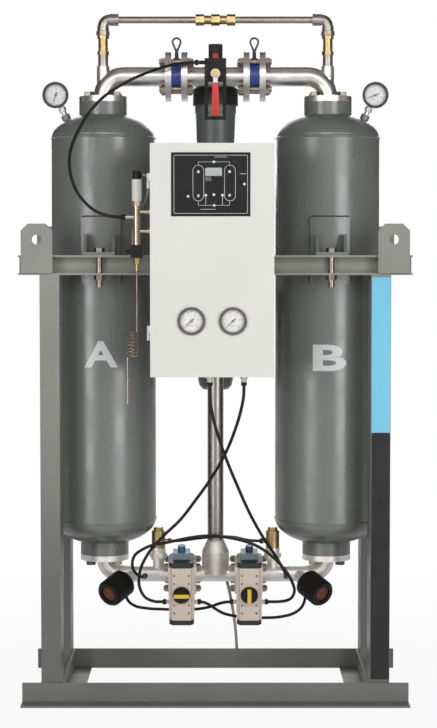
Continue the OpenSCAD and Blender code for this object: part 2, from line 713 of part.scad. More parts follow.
module cabinet_door() color("whitesmoke") on_cabinet() difference() {
  union() {
    difference() {
      translate([-cab_w / 2, -door_front, cab_z]) cube([cab_w, door_d, cab_h]);
      translate([-cab_w / 2 + sheet_t, -door_front + sheet_t, cab_z + sheet_t])
        cube([cab_w - 2 * sheet_t, door_d, cab_h - 2 * sheet_t]);
    }
    for (z = hinge_zs) translate([-hinge_x, -hinge_y, z + knuckle_h + seat]) {
      cylinder(r = hinge_r, h = knuckle_h);
      translate([hinge_r - 2.5, -door_d, 0]) cube([hinge_x - cab_w / 2 - hinge_r + 2.5 + sheet_t / 2,
        door_d, knuckle_h]);
    }
  }
  for (z = hinge_zs) translate([-hinge_x, -hinge_y, z + knuckle_h - cut])
    cylinder(r = hinge_pin_r + fit, h = knuckle_h + 3);
  for (side = [-1, 1]) door_gauge_place(side) translate([0, 0, -gauge_depth])
    cylinder(r = gauge_d / 2 + fit, h = gauge_depth);
}
seal_w = 10;
module door_seal() color("black") on_cabinet() difference() {
  translate([-cab_w / 2 + sheet_t, -door_front + sheet_t, cab_z + sheet_t])
    cube([cab_w - 2 * sheet_t, door_front - sheet_t - cab_front - seat, cab_h - 2 * sheet_t]);
  translate([-cab_w / 2 + sheet_t + seal_w, -door_front, cab_z + sheet_t + seal_w])
    cube([cab_w - 2 * sheet_t - 2 * seal_w, 2 * door_d, cab_h - 2 * sheet_t - 2 * seal_w]);
}
mimic_x = -3.5;
mimic_rise = 473;
mimic_z = cab_z + mimic_rise;
mimic_t = 1.5;
module mimic_panel() color("black") on_cabinet()
  translate([mimic_x - mimic_w / 2, -door_front - mimic_t, mimic_z - mimic_h / 2])
    cube([mimic_w, mimic_t, mimic_h]);
module door_gauges() color("silver") on_cabinet() for (side = [-1, 1]) door_gauge_place(side) {
  gauge_case();
  translate([0, 0, -gauge_depth - 20]) cylinder(r = 7, h = 21);
  translate([0, 0, -gauge_depth - 14]) hex(10, 8);
}
module door_gauge_lenses() color("aliceblue", 0.4) on_cabinet() for (side = [-1, 1]) door_gauge_place(side)
  gauge_lens();
module door_pointer_left() color("black") on_cabinet() door_gauge_place(-1) gauge_pointer();
module door_pointer_right() color("black") on_cabinet() door_gauge_place(1) gauge_pointer();

// Inside the cabinet, against its back wall
plate_y = beam_toe + sheet_t;
plate_inset = 22;
standoff = 10;
plate_t = 2;
plate_front = plate_y + standoff + plate_t;
module mounting_plate() color("silver") on_cabinet() {
  translate([-cab_w / 2 + plate_inset, -plate_front, cab_z + plate_inset])
    cube([cab_w - 2 * plate_inset, plate_t, cab_h - 2 * plate_inset]);
  for (x = [-1, 1], z = [plate_inset + 14, cab_h - plate_inset - 14])
    translate([x * (cab_w / 2 - plate_inset - 14), 0, cab_z + z]) to_front(plate_y, plate_front, 6);
}
rail_h = 35;
rail_d = 7.5;
rail_inset = 40;
controller_w = 120;
controller_h = 90;
controller_d = 58;
controller_drop = 190;
controller_z = cab_z + cab_h - controller_drop;
module controller() color("darkslategray") on_cabinet() {
  translate([-cab_w / 2 + rail_inset, -plate_front - rail_d, controller_z])
    cube([cab_w - 2 * rail_inset, rail_d, rail_h]);
  translate([-controller_w / 2, -plate_front - rail_d - controller_d * 0.6,
    controller_z + rail_h / 2 - controller_h / 2])
    cube([controller_w, controller_d * 0.6, controller_h]);
  translate([-controller_w / 2, -plate_front - rail_d - controller_d,
    controller_z + rail_h / 2 - controller_h / 4])
    cube([controller_w, controller_d * 0.6, controller_h / 2]);
}
manifold_w = 170;
manifold_rise = 250;
manifold_z = cab_z + manifold_rise;
coil_pitch = 34;
module solenoid_manifold() color("lightsteelblue") on_cabinet() {
  translate([-manifold_w / 2, -plate_front - 30, manifold_z]) cube([manifold_w, 30, 34]);
  for (i = [-2 : 2]) {
    translate([i * coil_pitch - 11, -plate_front - 30 - 24, manifold_z - 2]) cube([22, 25, 38]);
    translate([i * coil_pitch - 9, -plate_front - 30 - 22, manifold_z + 35]) cube([18, 18, 40]);
  }
}

// Dew point sensor on the cabinet's left side
sensor_off = 36;
sensor_x = cab_x - cab_w / 2 - sensor_off;
sensor_y = -beam_toe - 60;
sensor_rise = 338;
sensor_z = cab_z + sensor_rise;
cell_r = 9.3;
cell_len = 85;
sensor_hex_h = 12;
sensor_r = 12.5;
block_w = 30;
module sensor_place() placed() translate([sensor_x, sensor_y, sensor_z]) children();
module sample_cell() color("silver") sensor_place() {
  translate([0, 0, -14]) cylinder(r = cell_r, h = cell_len + 15);
  translate([0, 0, cell_len]) hex(sensor_r, sensor_hex_h);
  translate([-block_w / 2, -block_w / 2, -45]) cube([block_w, block_w, 32]);
  translate([0, 0, -60]) hex(10, 16);
  translate([0, 0, -78]) cylinder(r = 5, h = 19);
  translate([0, 0, 57]) along_x(-28, 0, 5.5);
  translate([0, 0, -29]) along_x(-26, 0, 4.5);
  for (z = [22, 70]) translate([0, 0, z]) {
    along_x(0, 36, 5);
    along_x(30, 36, 9);
  }
}
module dewpoint_sensor() color("whitesmoke") sensor_place() translate([0, 0, cell_len + sensor_hex_h]) {
  cylinder(r = sensor_r, h = 54);
  translate([0, 0, 53]) cylinder(r = sensor_r - 2, h = 22);
  translate([0, 0, 65]) along_x(0, 13, 4);
}

// Swept tubes: a smooth curve through hand-set points, then rings of facets along it
function unit(v) = v / norm(v);
function along(p, i) = unit(p[min(i + 1, len(p) - 1)] - p[max(i - 1, 0)]);
function carry(u, t) = unit(u - t * (u * t));
function side_of(t) = unit(cross(t, abs(t[2]) < 0.9 ? [0, 0, 1] : [1, 0, 0]));
function normals(p, i = 0, last = [0, 0, 0], done = []) = i == len(p) ? done :
  let (t = along(p, i), n = i == 0 ? side_of(t) : carry(last, t)) normals(p, i + 1, n, concat(done, [n]));
function chord(p, i) = norm(p[i + 1] - p[i]);
function lean(p, i) = i == 0 ? unit(p[1] - p[0]) : i == len(p) - 1 ? unit(p[i] - p[i - 1]) :
  let (a = chord(p, i - 1), b = chord(p, i))
  ((p[i] - p[i - 1]) * b / a + (p[i + 1] - p[i]) * a / b) / (a + b);
function spline_at(p, i, t) = let (h = chord(p, i), s = t * t * (3 - 2 * t)) p[i] * (1 - s) + p[i + 1] * s
  + h * t * (1 - t) * ((1 - t) * lean(p, i) - t * lean(p, i + 1));
function smooth(p, step) = concat([for (i = [0 : len(p) - 2]) let (n = ceil(chord(p, i) / step))
  for (k = [0 : n - 1]) spline_at(p, i, k / n)], [p[len(p) - 1]]);
module tube(p, r, sides = 8) {
  u = normals(p);
  rings = [for (i = [0 : len(p) - 1], j = [0 : sides - 1]) let (t = along(p, i), a = 360 * j / sides)
    p[i] + r * (cos(a) * u[i] + sin(a) * cross(t, u[i]))];
  walls = [for (i = [0 : len(p) - 2], j = [0 : sides - 1]) let (k = (j + 1) % sides)
    [i * sides + j, (i + 1) * sides + j, (i + 1) * sides + k, i * sides + k]];
  ends = [[for (j = [0 : sides - 1]) j], [for (j = [sides - 1 : -1 : 0]) (len(p) - 1) * sides + j]];
  polyhedron(rings, concat(walls, ends));
}
coil_r = 12;
coil_turns = 7;
coil_z = -230;
coil_len = 60;
coil_tail = 120;
coil_steps = 12;
capillary_r = 2;
coil_route = concat([[0, 0, -78], [0, 0, -130], [0, 0, -180], [0, 0, coil_z + 12]],
  [for (i = [0 : coil_turns * coil_steps + coil_steps / 2]) let (a = 360 * i / coil_steps)
    [-coil_r + coil_r * cos(a), coil_r * sin(a), coil_z - coil_len * i / (coil_turns * coil_steps)]],
  [for (part = [1 / 6, 7 / 12, 1]) [-2 * coil_r, 0, coil_z - coil_len - part * coil_tail]]);
module sample_coil() color("peru") sensor_place() tube(coil_route, capillary_r);

// Inlet riser, lower tee and lower bends
tee_leg_r = 36;
tee_leg_h = 60;
tee_top = lower_z + 92;
valve_in = valve_x - valve_t / 2;
valve_out = valve_x + valve_t / 2;
module inlet_riser() color("silver") placed() difference() {
  union() {
    translate([0, 0, tee_top]) cylinder(d = lower_d, h = pre_port_z - riser_bend_r - tee_top);
    translate([0, 0, pre_port_z - riser_bend_r]) rotate([0, 0, -90]) quarter(riser_bend_r, lower_d);
    translate([0, 0, pre_port_z]) to_front(-filter_y + filter_reach, -riser_bend_r, lower_d / 2);
  }
  translate([0, 0, tee_top - cut]) cylinder(d = lower_bore, h = pre_port_z - riser_bend_r - tee_top + cut);
  translate([0, 0, pre_port_z - riser_bend_r]) rotate([0, 0, -90]) quarter(riser_bend_r, lower_bore);
  translate([0, 0, pre_port_z]) to_front(-filter_y + filter_reach - cut, -riser_bend_r, lower_bore / 2);
}
module inlet_tee() color("silver") placed() difference() {
  union() {
    translate([0, 0, lower_z]) along_x(-valve_in + cut, valve_in - cut, lower_d / 2);
    both_sides() translate([0, 0, lower_z]) rotate([valve_tilt, 0, 0])
      wafer_flange(valve_in - valve_flange_t, valve_flange_d, valve_flange_t, valve_pcd,
        valve_bolt_d + 2 * bolt_play);
    translate([0, 0, lower_z]) cylinder(r = tee_leg_r, h = tee_leg_h);
    translate([0, 0, lower_z + tee_leg_h]) cylinder(r1 = tee_leg_r, r2 = lower_d / 2,
      h = tee_top - lower_z - tee_leg_h);
  }
  translate([0, 0, lower_z]) along_x(-valve_in - cut, valve_in + cut, lower_bore / 2);
  translate([0, 0, lower_z]) cylinder(d = lower_bore, h = tee_top - lower_z + cut);
}
exhaust_x = 152;
exhaust_boss_top = lower_z + lower_d / 2 + 16;
exhaust_boss_r = 15;
silencer_x = 215;
silencer_turn = 36;
silencer_dip = 20;
silencer_seat = 38;
tap_x = 187;
low_tap_x = 240;
tap_reach = 40;
// Branch that leaves a lower pipe towards the front and outside
module silencer_place() translate([silencer_x, 0, lower_z]) rotate([90 + silencer_dip, 0, silencer_turn])
  children();
module lower_bend() difference() {
  union() {
    translate([vx, 0, neck_bot - flange_t]) neck_flange();
    translate([vx, 0, neck_bot - flange_t]) mirror([0, 0, 1]) quarter(lower_bend_r, lower_d);
    translate([0, 0, lower_z]) {
      along_x(valve_out + cut, vx - lower_bend_r, lower_d / 2);
      rotate([valve_tilt, 0, 0])
        wafer_flange(valve_out, valve_flange_d, valve_flange_t, valve_pcd, valve_bolt_d + 2 * bolt_play);
    }
    translate([exhaust_x, 0, lower_z]) cylinder(r = exhaust_boss_r, h = exhaust_boss_top - lower_z);
    silencer_place() cylinder(r = 17, h = silencer_seat);
    translate([tap_x, 0, lower_z]) to_front(0, tap_reach, 6);
    translate([low_tap_x, 0, lower_z - tap_reach]) cylinder(r = 6, h = tap_reach);
  }
  translate([vx, 0, neck_bot - flange_t]) cylinder(d = lower_bore, h = flange_t + cut);
  translate([vx, 0, neck_bot - flange_t]) mirror([0, 0, 1]) quarter(lower_bend_r, lower_bore);
  translate([0, 0, lower_z]) along_x(valve_out - cut, vx - lower_bend_r, lower_bore / 2);
  translate([exhaust_x, 0, lower_z]) cylinder(r = exhaust_boss_r - 5, h = exhaust_boss_top - lower_z + cut);
  silencer_place() cylinder(r = 12, h = silencer_seat + cut);
}
module lower_bends() color("gainsboro") placed() both_sides() lower_bend();

// Inlet ball valves and their actuators
valve_r = valve_pcd / 2 - valve_bolt_d / 2 - 0.5;
ball_bore_r = lower_bore / 2 - 1;
valve_neck_r = 20;
valve_neck_y = valve_r + 34;
actuator_face = valve_neck_y + actuator_d;
indicator_t = 12;
module valve_place(side) placed() translate([side * valve_x, 0, lower_z])
  rotate([valve_tilt, 0, 0]) children();
module both_valves() for (side = [-1, 1]) valve_place(side) children();
module inlet_valve_body() difference() {
  union() {
    along_x(-valve_t / 2, valve_t / 2, valve_r);
    to_front(0, valve_neck_y, valve_neck_r);
  }
  along_x(-valve_t / 2 - cut, valve_t / 2 + cut, lower_bore / 2);
  sphere(d = ball_d + 2 * seat);
  to_front(0, valve_neck_y + cut, stem_d / 2 + fit);
}
module inlet_valve_bodies() color("darkslategray") both_valves() inlet_valve_body();
// The stem carries the ball at one end and the indicator past the actuator at the other
module valve_ball(turned) rotate([0, turned, 0]) {
  difference() {
    sphere(d = ball_d);
    along_x(-ball_d, ball_d, ball_bore_r);
  }
  to_front(ball_bore_r + 2, actuator_face + seat, stem_d / 2);
}
module left_valve_ball() color("silver") valve_place(-1) valve_ball(0);
module right_valve_ball() color("silver") valve_place(1) valve_ball(90);
module indicator(turned) translate([0, -actuator_face - seat, 0]) rotate([90, turned, 0]) {
  cylinder(d = indicator_d, h = indicator_t * 0.6);
  cylinder(d = indicator_d - 8, h = indicator_t);
  translate([-indicator_d / 2 + 2, -5, indicator_t * 0.6]) cube([indicator_d - 4, 10, indicator_t * 0.6]);
}
module left_indicator() color("black") valve_place(-1) indicator(0);
module right_indicator() color("black") valve_place(1) indicator(90);

// Rack-and-pinion actuator body, long axis upright
rib_w = 8;
module actuator_outline(inset) difference() {
  square([actuator_w - 2 * inset, actuator_d - 2 * inset], center = true);
  for (x = [-1, 1], y = [-1, 1]) translate([x * actuator_w / 2, y * actuator_d / 2]) circle(r = rib_w);
  for (x = [-1, 1]) translate([x * actuator_w / 2, 0]) square([rib_w / 2, actuator_d / 3], center = true);
}
port_reach = 8;
module actuator_place() both_valves() translate([0, -valve_neck_y - actuator_d / 2, 0]) children();
module actuator() difference() {
  union() {
    translate([0, 0, -actuator_len / 2]) linear_extrude(actuator_len) actuator_outline(0);
    for (x = [-1, 1]) translate([0, 0, -actuator_len / 4])
      along_x(min(0, x * (actuator_w / 2 + port_reach)),
      max(0, x * (actuator_w / 2 + port_reach)), 5.5);
  }
  to_front(-actuator_d, actuator_d, stem_d / 2 + fit);
}
module actuators() color("tan") actuator_place() actuator();
module actuator_cap() difference() {
  linear_extrude(cap_t) actuator_outline(1);
  for (x = [-1, 1],
    y = [-1, 1]) translate([x * (actuator_w / 2 - 14), y * (actuator_d / 2 - 14), cap_t - 4])
    cylinder(r = 5, h = 5);
}
module actuator_caps() color("black") actuator_place() {
  translate([0, 0, actuator_len / 2]) actuator_cap();
  mirror([0, 0, 1]) translate([0, 0, actuator_len / 2]) actuator_cap();
}
module pilot_valves() color("teal") actuator_place() translate([0, 0, actuator_len / 2 + cap_t]) {
  translate([-22, -12, 0]) cube([44, 40, 16]);
  translate([0, 8, 15]) cylinder(r = 10, h = 17);
}

// Exhaust valves on the lower bends, with brass heads and push-in fittings, and the silencers
exhaust_body_h = 32;
exhaust_head_h = 46;
exhaust_fit_x = 25;
module exhaust_valves() color("slategray") placed() both_sides()
  translate([exhaust_x, 0, exhaust_boss_top]) {
  cylinder(r = 19, h = exhaust_body_h);
  translate([0, 0, 6]) hex(23, 12);
}
module exhaust_heads() color("darkgoldenrod") placed() both_sides()
  translate([exhaust_x, 0, exhaust_boss_top + exhaust_body_h]) {
    cylinder(r = 18, h = exhaust_head_h);
    translate([0, 0, exhaust_head_h - 1]) hex(13, 10);
    translate([0, 0, exhaust_head_h - 28]) along_x(-exhaust_fit_x, 0, 6);
  }
silencer_r = 36;
silencer_neck = 14;
silencer_len = 68;
rib_count = 24;
module silencer() {
  cylinder(r = 19, h = silencer_neck + cut);
  translate([0, 0, silencer_neck]) difference() {
    union() {
      cylinder(r = silencer_r - 4, h = silencer_len);
      linear_extrude(silencer_len - 6) difference() {
        circle(r = silencer_r);
        for (i = [0 : rib_count - 1]) rotate(360 * i / rib_count) translate([silencer_r, 0])
          circle(r = 2.2, $fn = 16);
      }
    }
    translate([0, 0, silencer_len - 8]) cylinder(r = silencer_r - 14, h = 9);
  }
}
module silencers() color("black") placed() both_sides() silencer_place() translate([0, 0, silencer_seat])
  silencer();

// Hoses and tubes run through hand-set points, measured from the vessels' plane
hose_r = 4;
sample_route = [[-44.3, -61.4, 1648], [-54, -61.4, 1648], [-66, -62.5, 1647.6], [-100, -78, 1642],
  [-165, -116, 1620], [-240, -150, 1582], [-290, -168, 1545], [-340, -190, 1477], [-368, -220, 1388],
  [-346, -245, 1305], [-291, -264, 1254], [-248, -269.6, 1243.6], [-234.5, -270, 1243],
  [-224.3, -270, 1243]];
tube_routes = [
  [[71.5, -300, 831.7], [71.5, -300, 818], [71, -299, 800], [64, -290, 760], [48, -270, 705],
    [22, -240, 640], [-14, -205, 575], [-52, -172, 518], [-92, -148, 464], [-136, -134, 420],
    [-172, -126, 378], [-196, -120, 328], [-198, -112, 284], [-182, -104, 254], [-156, -100.5, 243.3],
    [-142, -100.1, 242.9], [-129.3, -100.1, 242.9]],
  [[-13.5, -300, 831.7], [-13.5, -300, 818], [-13.5, -300, 800], [-10, -298, 765], [6, -290, 700],
    [30, -272, 630], [58, -245, 560], [88, -212, 490], [122, -178, 425], [156, -142, 370], [178, -108, 328],
    [186, -78, 307], [187, -60, 301.6], [187, -50, 301], [187, -40.3, 301]],
  [[-126.7, 0, 388.2], [-116, 0, 388.2], [-104, -1.2, 388.6], [-86, -7, 391], [-50, -28, 399],
    [0, -44, 406], [50, -28, 402], [86, -7, 391.4], [104, -1.2, 388.7], [116, 0, 388.2], [126.7, 0, 388.2]],
  [[-187, -40.3, 301], [-187, -50, 301], [-187.5, -64, 302], [-193, -88, 306], [-206, -110, 318],
    [-216, -127, 342], [-210, -138, 370], [-182, -143, 391], [-120, -146, 407], [-20, -152, 424],
    [30, -158, 421], [112, -171, 398], [166, -170, 354], [196, -158, 310], [205, -140, 277],
    [195, -120, 254], [170, -104, 244.2], [152, -100.1, 242.9], [141, -100.1, 242.9],
    [129.3, -100.1, 242.9]],
  [[-240, 0, 260.7], [-240, 0, 252], [-239, -0.8, 242], [-232, -5, 227], [-215, -12, 216], [-185, -20, 211],
    [-140, -27, 209.5], [-90, -31, 209.5], [-50, -38, 212], [-24, -50, 218], [-6, -66, 226], [8, -81, 234],
    [20, -92, 239.2], [32, -98.2, 242.1], [41, -100.1, 242.9], [46.7, -100.1, 242.9]],
  [[-46.7, -100.1, 242.9], [-41, -100, 242.9], [-32, -98.6, 241.4], [-20, -94, 236], [-7, -85, 226],
    [7, -73, 214.5], [22, -60, 204.5], [40, -46, 197], [75, -36, 190], [125, -34, 188], [176, -33, 191],
    [208, -28, 199], [229, -18, 213], [238, -7, 231], [239.8, -1, 245], [240, 0, 253], [240, 0, 260.7]]
];
cable_r = 2.5;
cable_route = [[-182.7, -270, 1348], [-179, -270, 1348], [-173.2, -270, 1346.4], [-169.1, -269.6, 1342.3],
  [-167.5, -268.5, 1336], [-168, -264, 1322], [-170.5, -257, 1302], [-179.5, -248, 1277],
  [-191.5, -244, 1252], [-202.5, -246.5, 1226], [-206.8, -254, 1202], [-206.5, -259.4, 1186],
  [-206.5, -260, 1179], [-206.5, -260, 1173.2]];
drain_route = [[0, 125, 769.7], [0, 125, 758], [0, 125, 742], [0, 125, 690], [0, 126, 600], [0, 128, 500],
  [2, 132, 420], [10, 138, 350], [24, 146, 285], [38, 156, 225], [48, 168, 170], [54, 182, 126],
  [57, 198, 89], [58.4, 212, 68], [58.8, 220, 57], [59, 226, 46], [59, 229, 34], [59, 229.5, 18]];
route_step = 14;
module sample_hose() color("black") placed() tube(smooth(sample_route, route_step), hose_r);
module control_tubes() color("black") placed() {
  for (route = tube_routes) tube(smooth(route, route_step), hose_r);
  tube(smooth(cable_route, route_step), cable_r);
}
module drain_hose() color("lightgray") placed() tube(smooth(drain_route, route_step), hose_r);

base_frame();
uprights();
cross_beams();
lifting_lugs();
vessel_left();
vessel_right();
desiccant_beds();
bed_screens();
saddle_brackets();
outlet_bends();
outlet_tee();
check_valves();
check_disc_left();
check_disc_right();
lifting_eyes();
bolts();
sample_valve_body();
sample_valve_stem();
sample_valve_lever();
purge_risers();
purge_unions();
purge_elbows();
vessel_gauges();
vessel_gauge_lenses();
vessel_pointer_left();
vessel_pointer_right();
filter_heads();
filter_bowls();
filter_elements();
cabinet_box();
cabinet_door();
door_seal();
mimic_panel();
door_gauges();
door_gauge_lenses();
door_pointer_left();
door_pointer_right();
mounting_plate();
controller();
solenoid_manifold();
dewpoint_sensor();
sample_cell();
sample_coil();
inlet_riser();
inlet_tee();
lower_bends();
inlet_valve_bodies();
left_valve_ball();
right_valve_ball();
actuators();
actuator_caps();
left_indicator();
right_indicator();
pilot_valves();
exhaust_valves();
exhaust_heads();
silencers();
sample_hose();
control_tubes();
drain_hose();
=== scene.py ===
"""Looks of the twin-tower desiccant air dryer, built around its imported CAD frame. Units are metres."""
import math

import bmesh
import bpy
from mathutils import Matrix, Vector


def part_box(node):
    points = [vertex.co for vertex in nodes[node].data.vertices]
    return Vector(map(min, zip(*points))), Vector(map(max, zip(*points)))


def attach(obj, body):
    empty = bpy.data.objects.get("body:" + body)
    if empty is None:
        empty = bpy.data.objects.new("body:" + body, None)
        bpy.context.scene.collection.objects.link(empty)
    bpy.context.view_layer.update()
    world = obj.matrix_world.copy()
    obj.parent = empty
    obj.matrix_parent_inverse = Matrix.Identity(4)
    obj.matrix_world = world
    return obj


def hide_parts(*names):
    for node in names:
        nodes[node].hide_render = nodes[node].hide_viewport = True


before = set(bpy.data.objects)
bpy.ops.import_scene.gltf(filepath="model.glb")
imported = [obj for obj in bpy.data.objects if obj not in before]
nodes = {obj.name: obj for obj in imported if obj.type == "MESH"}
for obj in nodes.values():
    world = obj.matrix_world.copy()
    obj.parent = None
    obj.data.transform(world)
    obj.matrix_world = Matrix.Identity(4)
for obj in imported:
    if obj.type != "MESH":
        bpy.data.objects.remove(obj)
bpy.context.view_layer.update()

vessel_lo, vessel_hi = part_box("vessel_right")
AXIS_Y = (vessel_lo.y + vessel_hi.y) / 2
VESSEL_X = (vessel_lo.x + vessel_hi.x) / 2
VESSEL_R = 0.1365
MM = 0.001


def at(x, y, z):
    """A point given in millimetres from the vessels' plane, as the CAD source gives it."""
    return Vector((x * MM, y * MM + AXIS_Y, z * MM))


# Camera at the photograph's view
FOCAL_PX = 1888.4
IMAGE_H = 728
SENSOR = 36.0
CAMERA_DIP = 3.2
camera_data = bpy.data.cameras.new("photo_camera")
camera_data.sensor_fit = "VERTICAL"
camera_data.sensor_height = SENSOR
camera_data.lens = FOCAL_PX / IMAGE_H * SENSOR
camera = bpy.data.objects.new("photo_camera", camera_data)
camera.location = at(8, -5000, 1140)
camera.rotation_euler = (math.radians(90 - CAMERA_DIP), 0, 0)
bpy.context.scene.collection.objects.link(camera)
bpy.context.scene.camera = camera
bpy.context.scene.view_settings.view_transform = "Standard"


# Materials
def srgb(r, g, b):
    """A colour given as 0 to 255 screen values, as linear light."""
    def lin(c):
        c /= 255
        return c / 12.92 if c <= 0.04045 else ((c + 0.055) / 1.055) ** 2.4
    return (lin(r), lin(g), lin(b))


class Shader:
    """A principled material with object-space procedural detail."""

    def __init__(self, name):
        self.mat = bpy.data.materials.new(name)
        self.mat.use_nodes = True
        self.tree = self.mat.node_tree
        self.bsdf = self.tree.nodes["Principled BSDF"]
        self.coord = self.tree.nodes.new("ShaderNodeTexCoord")

    def link(self, a, b):
        self.tree.links.new(a, b)

    def mapped(self, stretch):
        mapping = self.tree.nodes.new("ShaderNodeMapping")
        mapping.inputs["Scale"].default_value = stretch
        self.link(self.coord.outputs["Object"], mapping.inputs["Vector"])
        return mapping.outputs["Vector"]

    def noise(self, scale, detail=3.0, stretch=(1, 1, 1)):
        tex = self.tree.nodes.new("ShaderNodeTexNoise")
        tex.inputs["Scale"].default_value = scale
        tex.inputs["Detail"].default_value = detail
        self.link(self.mapped(stretch), tex.inputs["Vector"])
        return tex.outputs["Fac"]

    def cells(self, scale, feature="F1"):
        tex = self.tree.nodes.new("ShaderNodeTexVoronoi")
        tex.feature = feature
        tex.inputs["Scale"].default_value = scale
        self.link(self.mapped((1, 1, 1)), tex.inputs["Vector"])
        return tex.outputs["Color" if feature == "F1" else "Distance"]

    def spread(self, value, low, high, start=0.3, stop=0.7):
        ranger = self.tree.nodes.new("ShaderNodeMapRange")
        for key, number in (("From Min", start), ("From Max", stop), ("To Min", low), ("To Max", high)):
            ranger.inputs[key].default_value = number
        self.link(value, ranger.inputs["Value"])
        return ranger.outputs["Result"]

    def mix(self, factor, a, b):
        node = self.tree.nodes.new("ShaderNodeMix")
        node.data_type = "RGBA"
        self.link(factor, node.inputs["Factor"])
        # Sockets 6 and 7 take the two colours, socket 2 gives their mix
        for socket, colour in ((node.inputs[6], a), (node.inputs[7], b)):
            if isinstance(colour, tuple):
                socket.default_value = (*colour, 1)
            else:
                self.link(colour, socket)
        return node.outputs[2]

    def bump(self, height, strength, depth):
        node = self.tree.nodes.new("ShaderNodeBump")
        node.inputs["Strength"].default_value = strength
        node.inputs["Distance"].default_value = depth
        self.link(height, node.inputs["Height"])
        self.link(node.outputs["Normal"], self.bsdf.inputs["Normal"])

    def feed(self, key, value):
        self.link(value, self.bsdf.inputs[key])

    def set(self, **values):
        for key, value in values.items():
            self.bsdf.inputs[key.replace("_", " ")].default_value = value


def shade(colour, factor):
    return tuple(min(1.0, c * factor) for c in colour)


# Heights over which the painted floor shade fades in
FLOOR_SHADE_HEIGHTS = (0.30, 0.85)
PEEL_DEPTH = 0.0004
GRAIN_DEPTH = 0.0003


def painted(name, colour, rough=0.42, vary=0.10, peel=700, strength=0.06, specular=0.4, floor_shade=1.0):
    """Sprayed paint; the last argument, if below 1, darkens the colour towards the floor: painted shade for
    the low parts, which get less light.
    """
    s = Shader(name)
    patches = s.spread(s.noise(5, 4), 0, 1)
    base = s.mix(patches, shade(colour, 1 - vary), shade(colour, 1 + vary))
    # Painted shade: below the upper height the colour darkens towards the floor
    if floor_shade < 1:
        split = s.tree.nodes.new("ShaderNodeSeparateXYZ")
        s.link(s.coord.outputs["Object"], split.inputs["Vector"])
        base = s.mix(s.spread(split.outputs["Z"], 0, 1, *FLOOR_SHADE_HEIGHTS), shade(colour, floor_shade), base)
    s.feed("Base Color", base)
    s.feed("Roughness", s.spread(s.noise(14, 5), rough - 0.07, rough + 0.09))
    s.bump(s.noise(peel, 2), strength, PEEL_DEPTH)
    s.set(Specular_IOR_Level=specular)
    return s.mat


def metal(name, colour, rough=0.3, vary=0.12, grain=(1, 1, 1), grain_scale=90, strength=0.08, spangle=0,
          metallic=1.0):
    """Metal with a fine grain; spangle is the scale of zinc's crystal patches."""
    s = Shader(name)
    blend = s.spread(s.noise(grain_scale, 4, grain), 0, 1)
    base = s.mix(blend, shade(colour, 1 - vary), shade(colour, 1 + vary))
    if spangle:
        base = s.mix(s.spread(s.cells(spangle), 0, 0.35, 0, 1), base, shade(colour, 0.7))
    s.feed("Base Color", base)
    s.feed("Roughness", s.spread(s.noise(30, 5), rough - 0.08, rough + 0.12))
    s.bump(s.noise(grain_scale * 4, 3, grain), strength, GRAIN_DEPTH)
    s.set(Metallic=metallic)
    return s.mat


def plastic(name, colour, rough=0.5, vary=0.08, pebble=500, strength=0.12, specular=0.5):
    """Moulded plastic, rubber or print with a fine pebble."""
    s = Shader(name)
    patches = s.spread(s.noise(22, 4), 0, 1)
    s.feed("Base Color", s.mix(patches, shade(colour, 1 - vary), shade(colour, 1 + vary)))
    s.feed("Roughness", s.spread(s.noise(40, 4), rough - 0.08, rough + 0.08))
    s.bump(s.noise(pebble, 3), strength, PEEL_DEPTH)
    s.set(Specular_IOR_Level=specular)
    return s.mat


def clear(name, tint):
    """A thin clear lens: mostly see-through, with its own gloss."""
    s = Shader(name)
    s.set(Base_Color=(*tint, 1), Alpha=0.12, IOR=1.45)
    s.feed("Roughness", s.spread(s.noise(60, 2), 0.02, 0.06))
    return s.mat


def beads(name, colour, scale=260):
    """A packed bed of round grains."""
    s = Shader(name)
    s.feed("Base Color", s.mix(s.spread(s.cells(scale), 0, 1, 0, 1), shade(colour, 0.85), colour))
    s.bump(s.cells(scale, "DISTANCE_TO_EDGE"), 0.6, 0.001)
    s.set(Roughness=0.8)
    return s.mat


def sponge(name, colour, scale=420):
    """Porous sintered metal, darker where its bump is low: painted shade in the pores."""
    s = Shader(name)
    pore_shade = s.spread(s.noise(scale, 4), 0, 1)
    s.feed("Base Color", s.mix(pore_shade, shade(colour, 0.35), shade(colour, 1.3)))
    s.bump(s.noise(scale, 4), 0.9, 0.0015)
    s.set(Roughness=0.85)
    return s.mat


def pleats(name, colour, scale=120, folds=(6, 6, 0.2)):
    """Filter paper folded along Z, darker where its bump is low: painted shade in the folds."""
    s = Shader(name)
    s.feed("Base Color", s.mix(s.spread(s.noise(scale, 3, folds), 0, 1), shade(colour, 0.75), colour))
    s.bump(s.noise(scale, 3, folds), 0.5, 0.002)
    s.set(Roughness=0.85)
    return s.mat


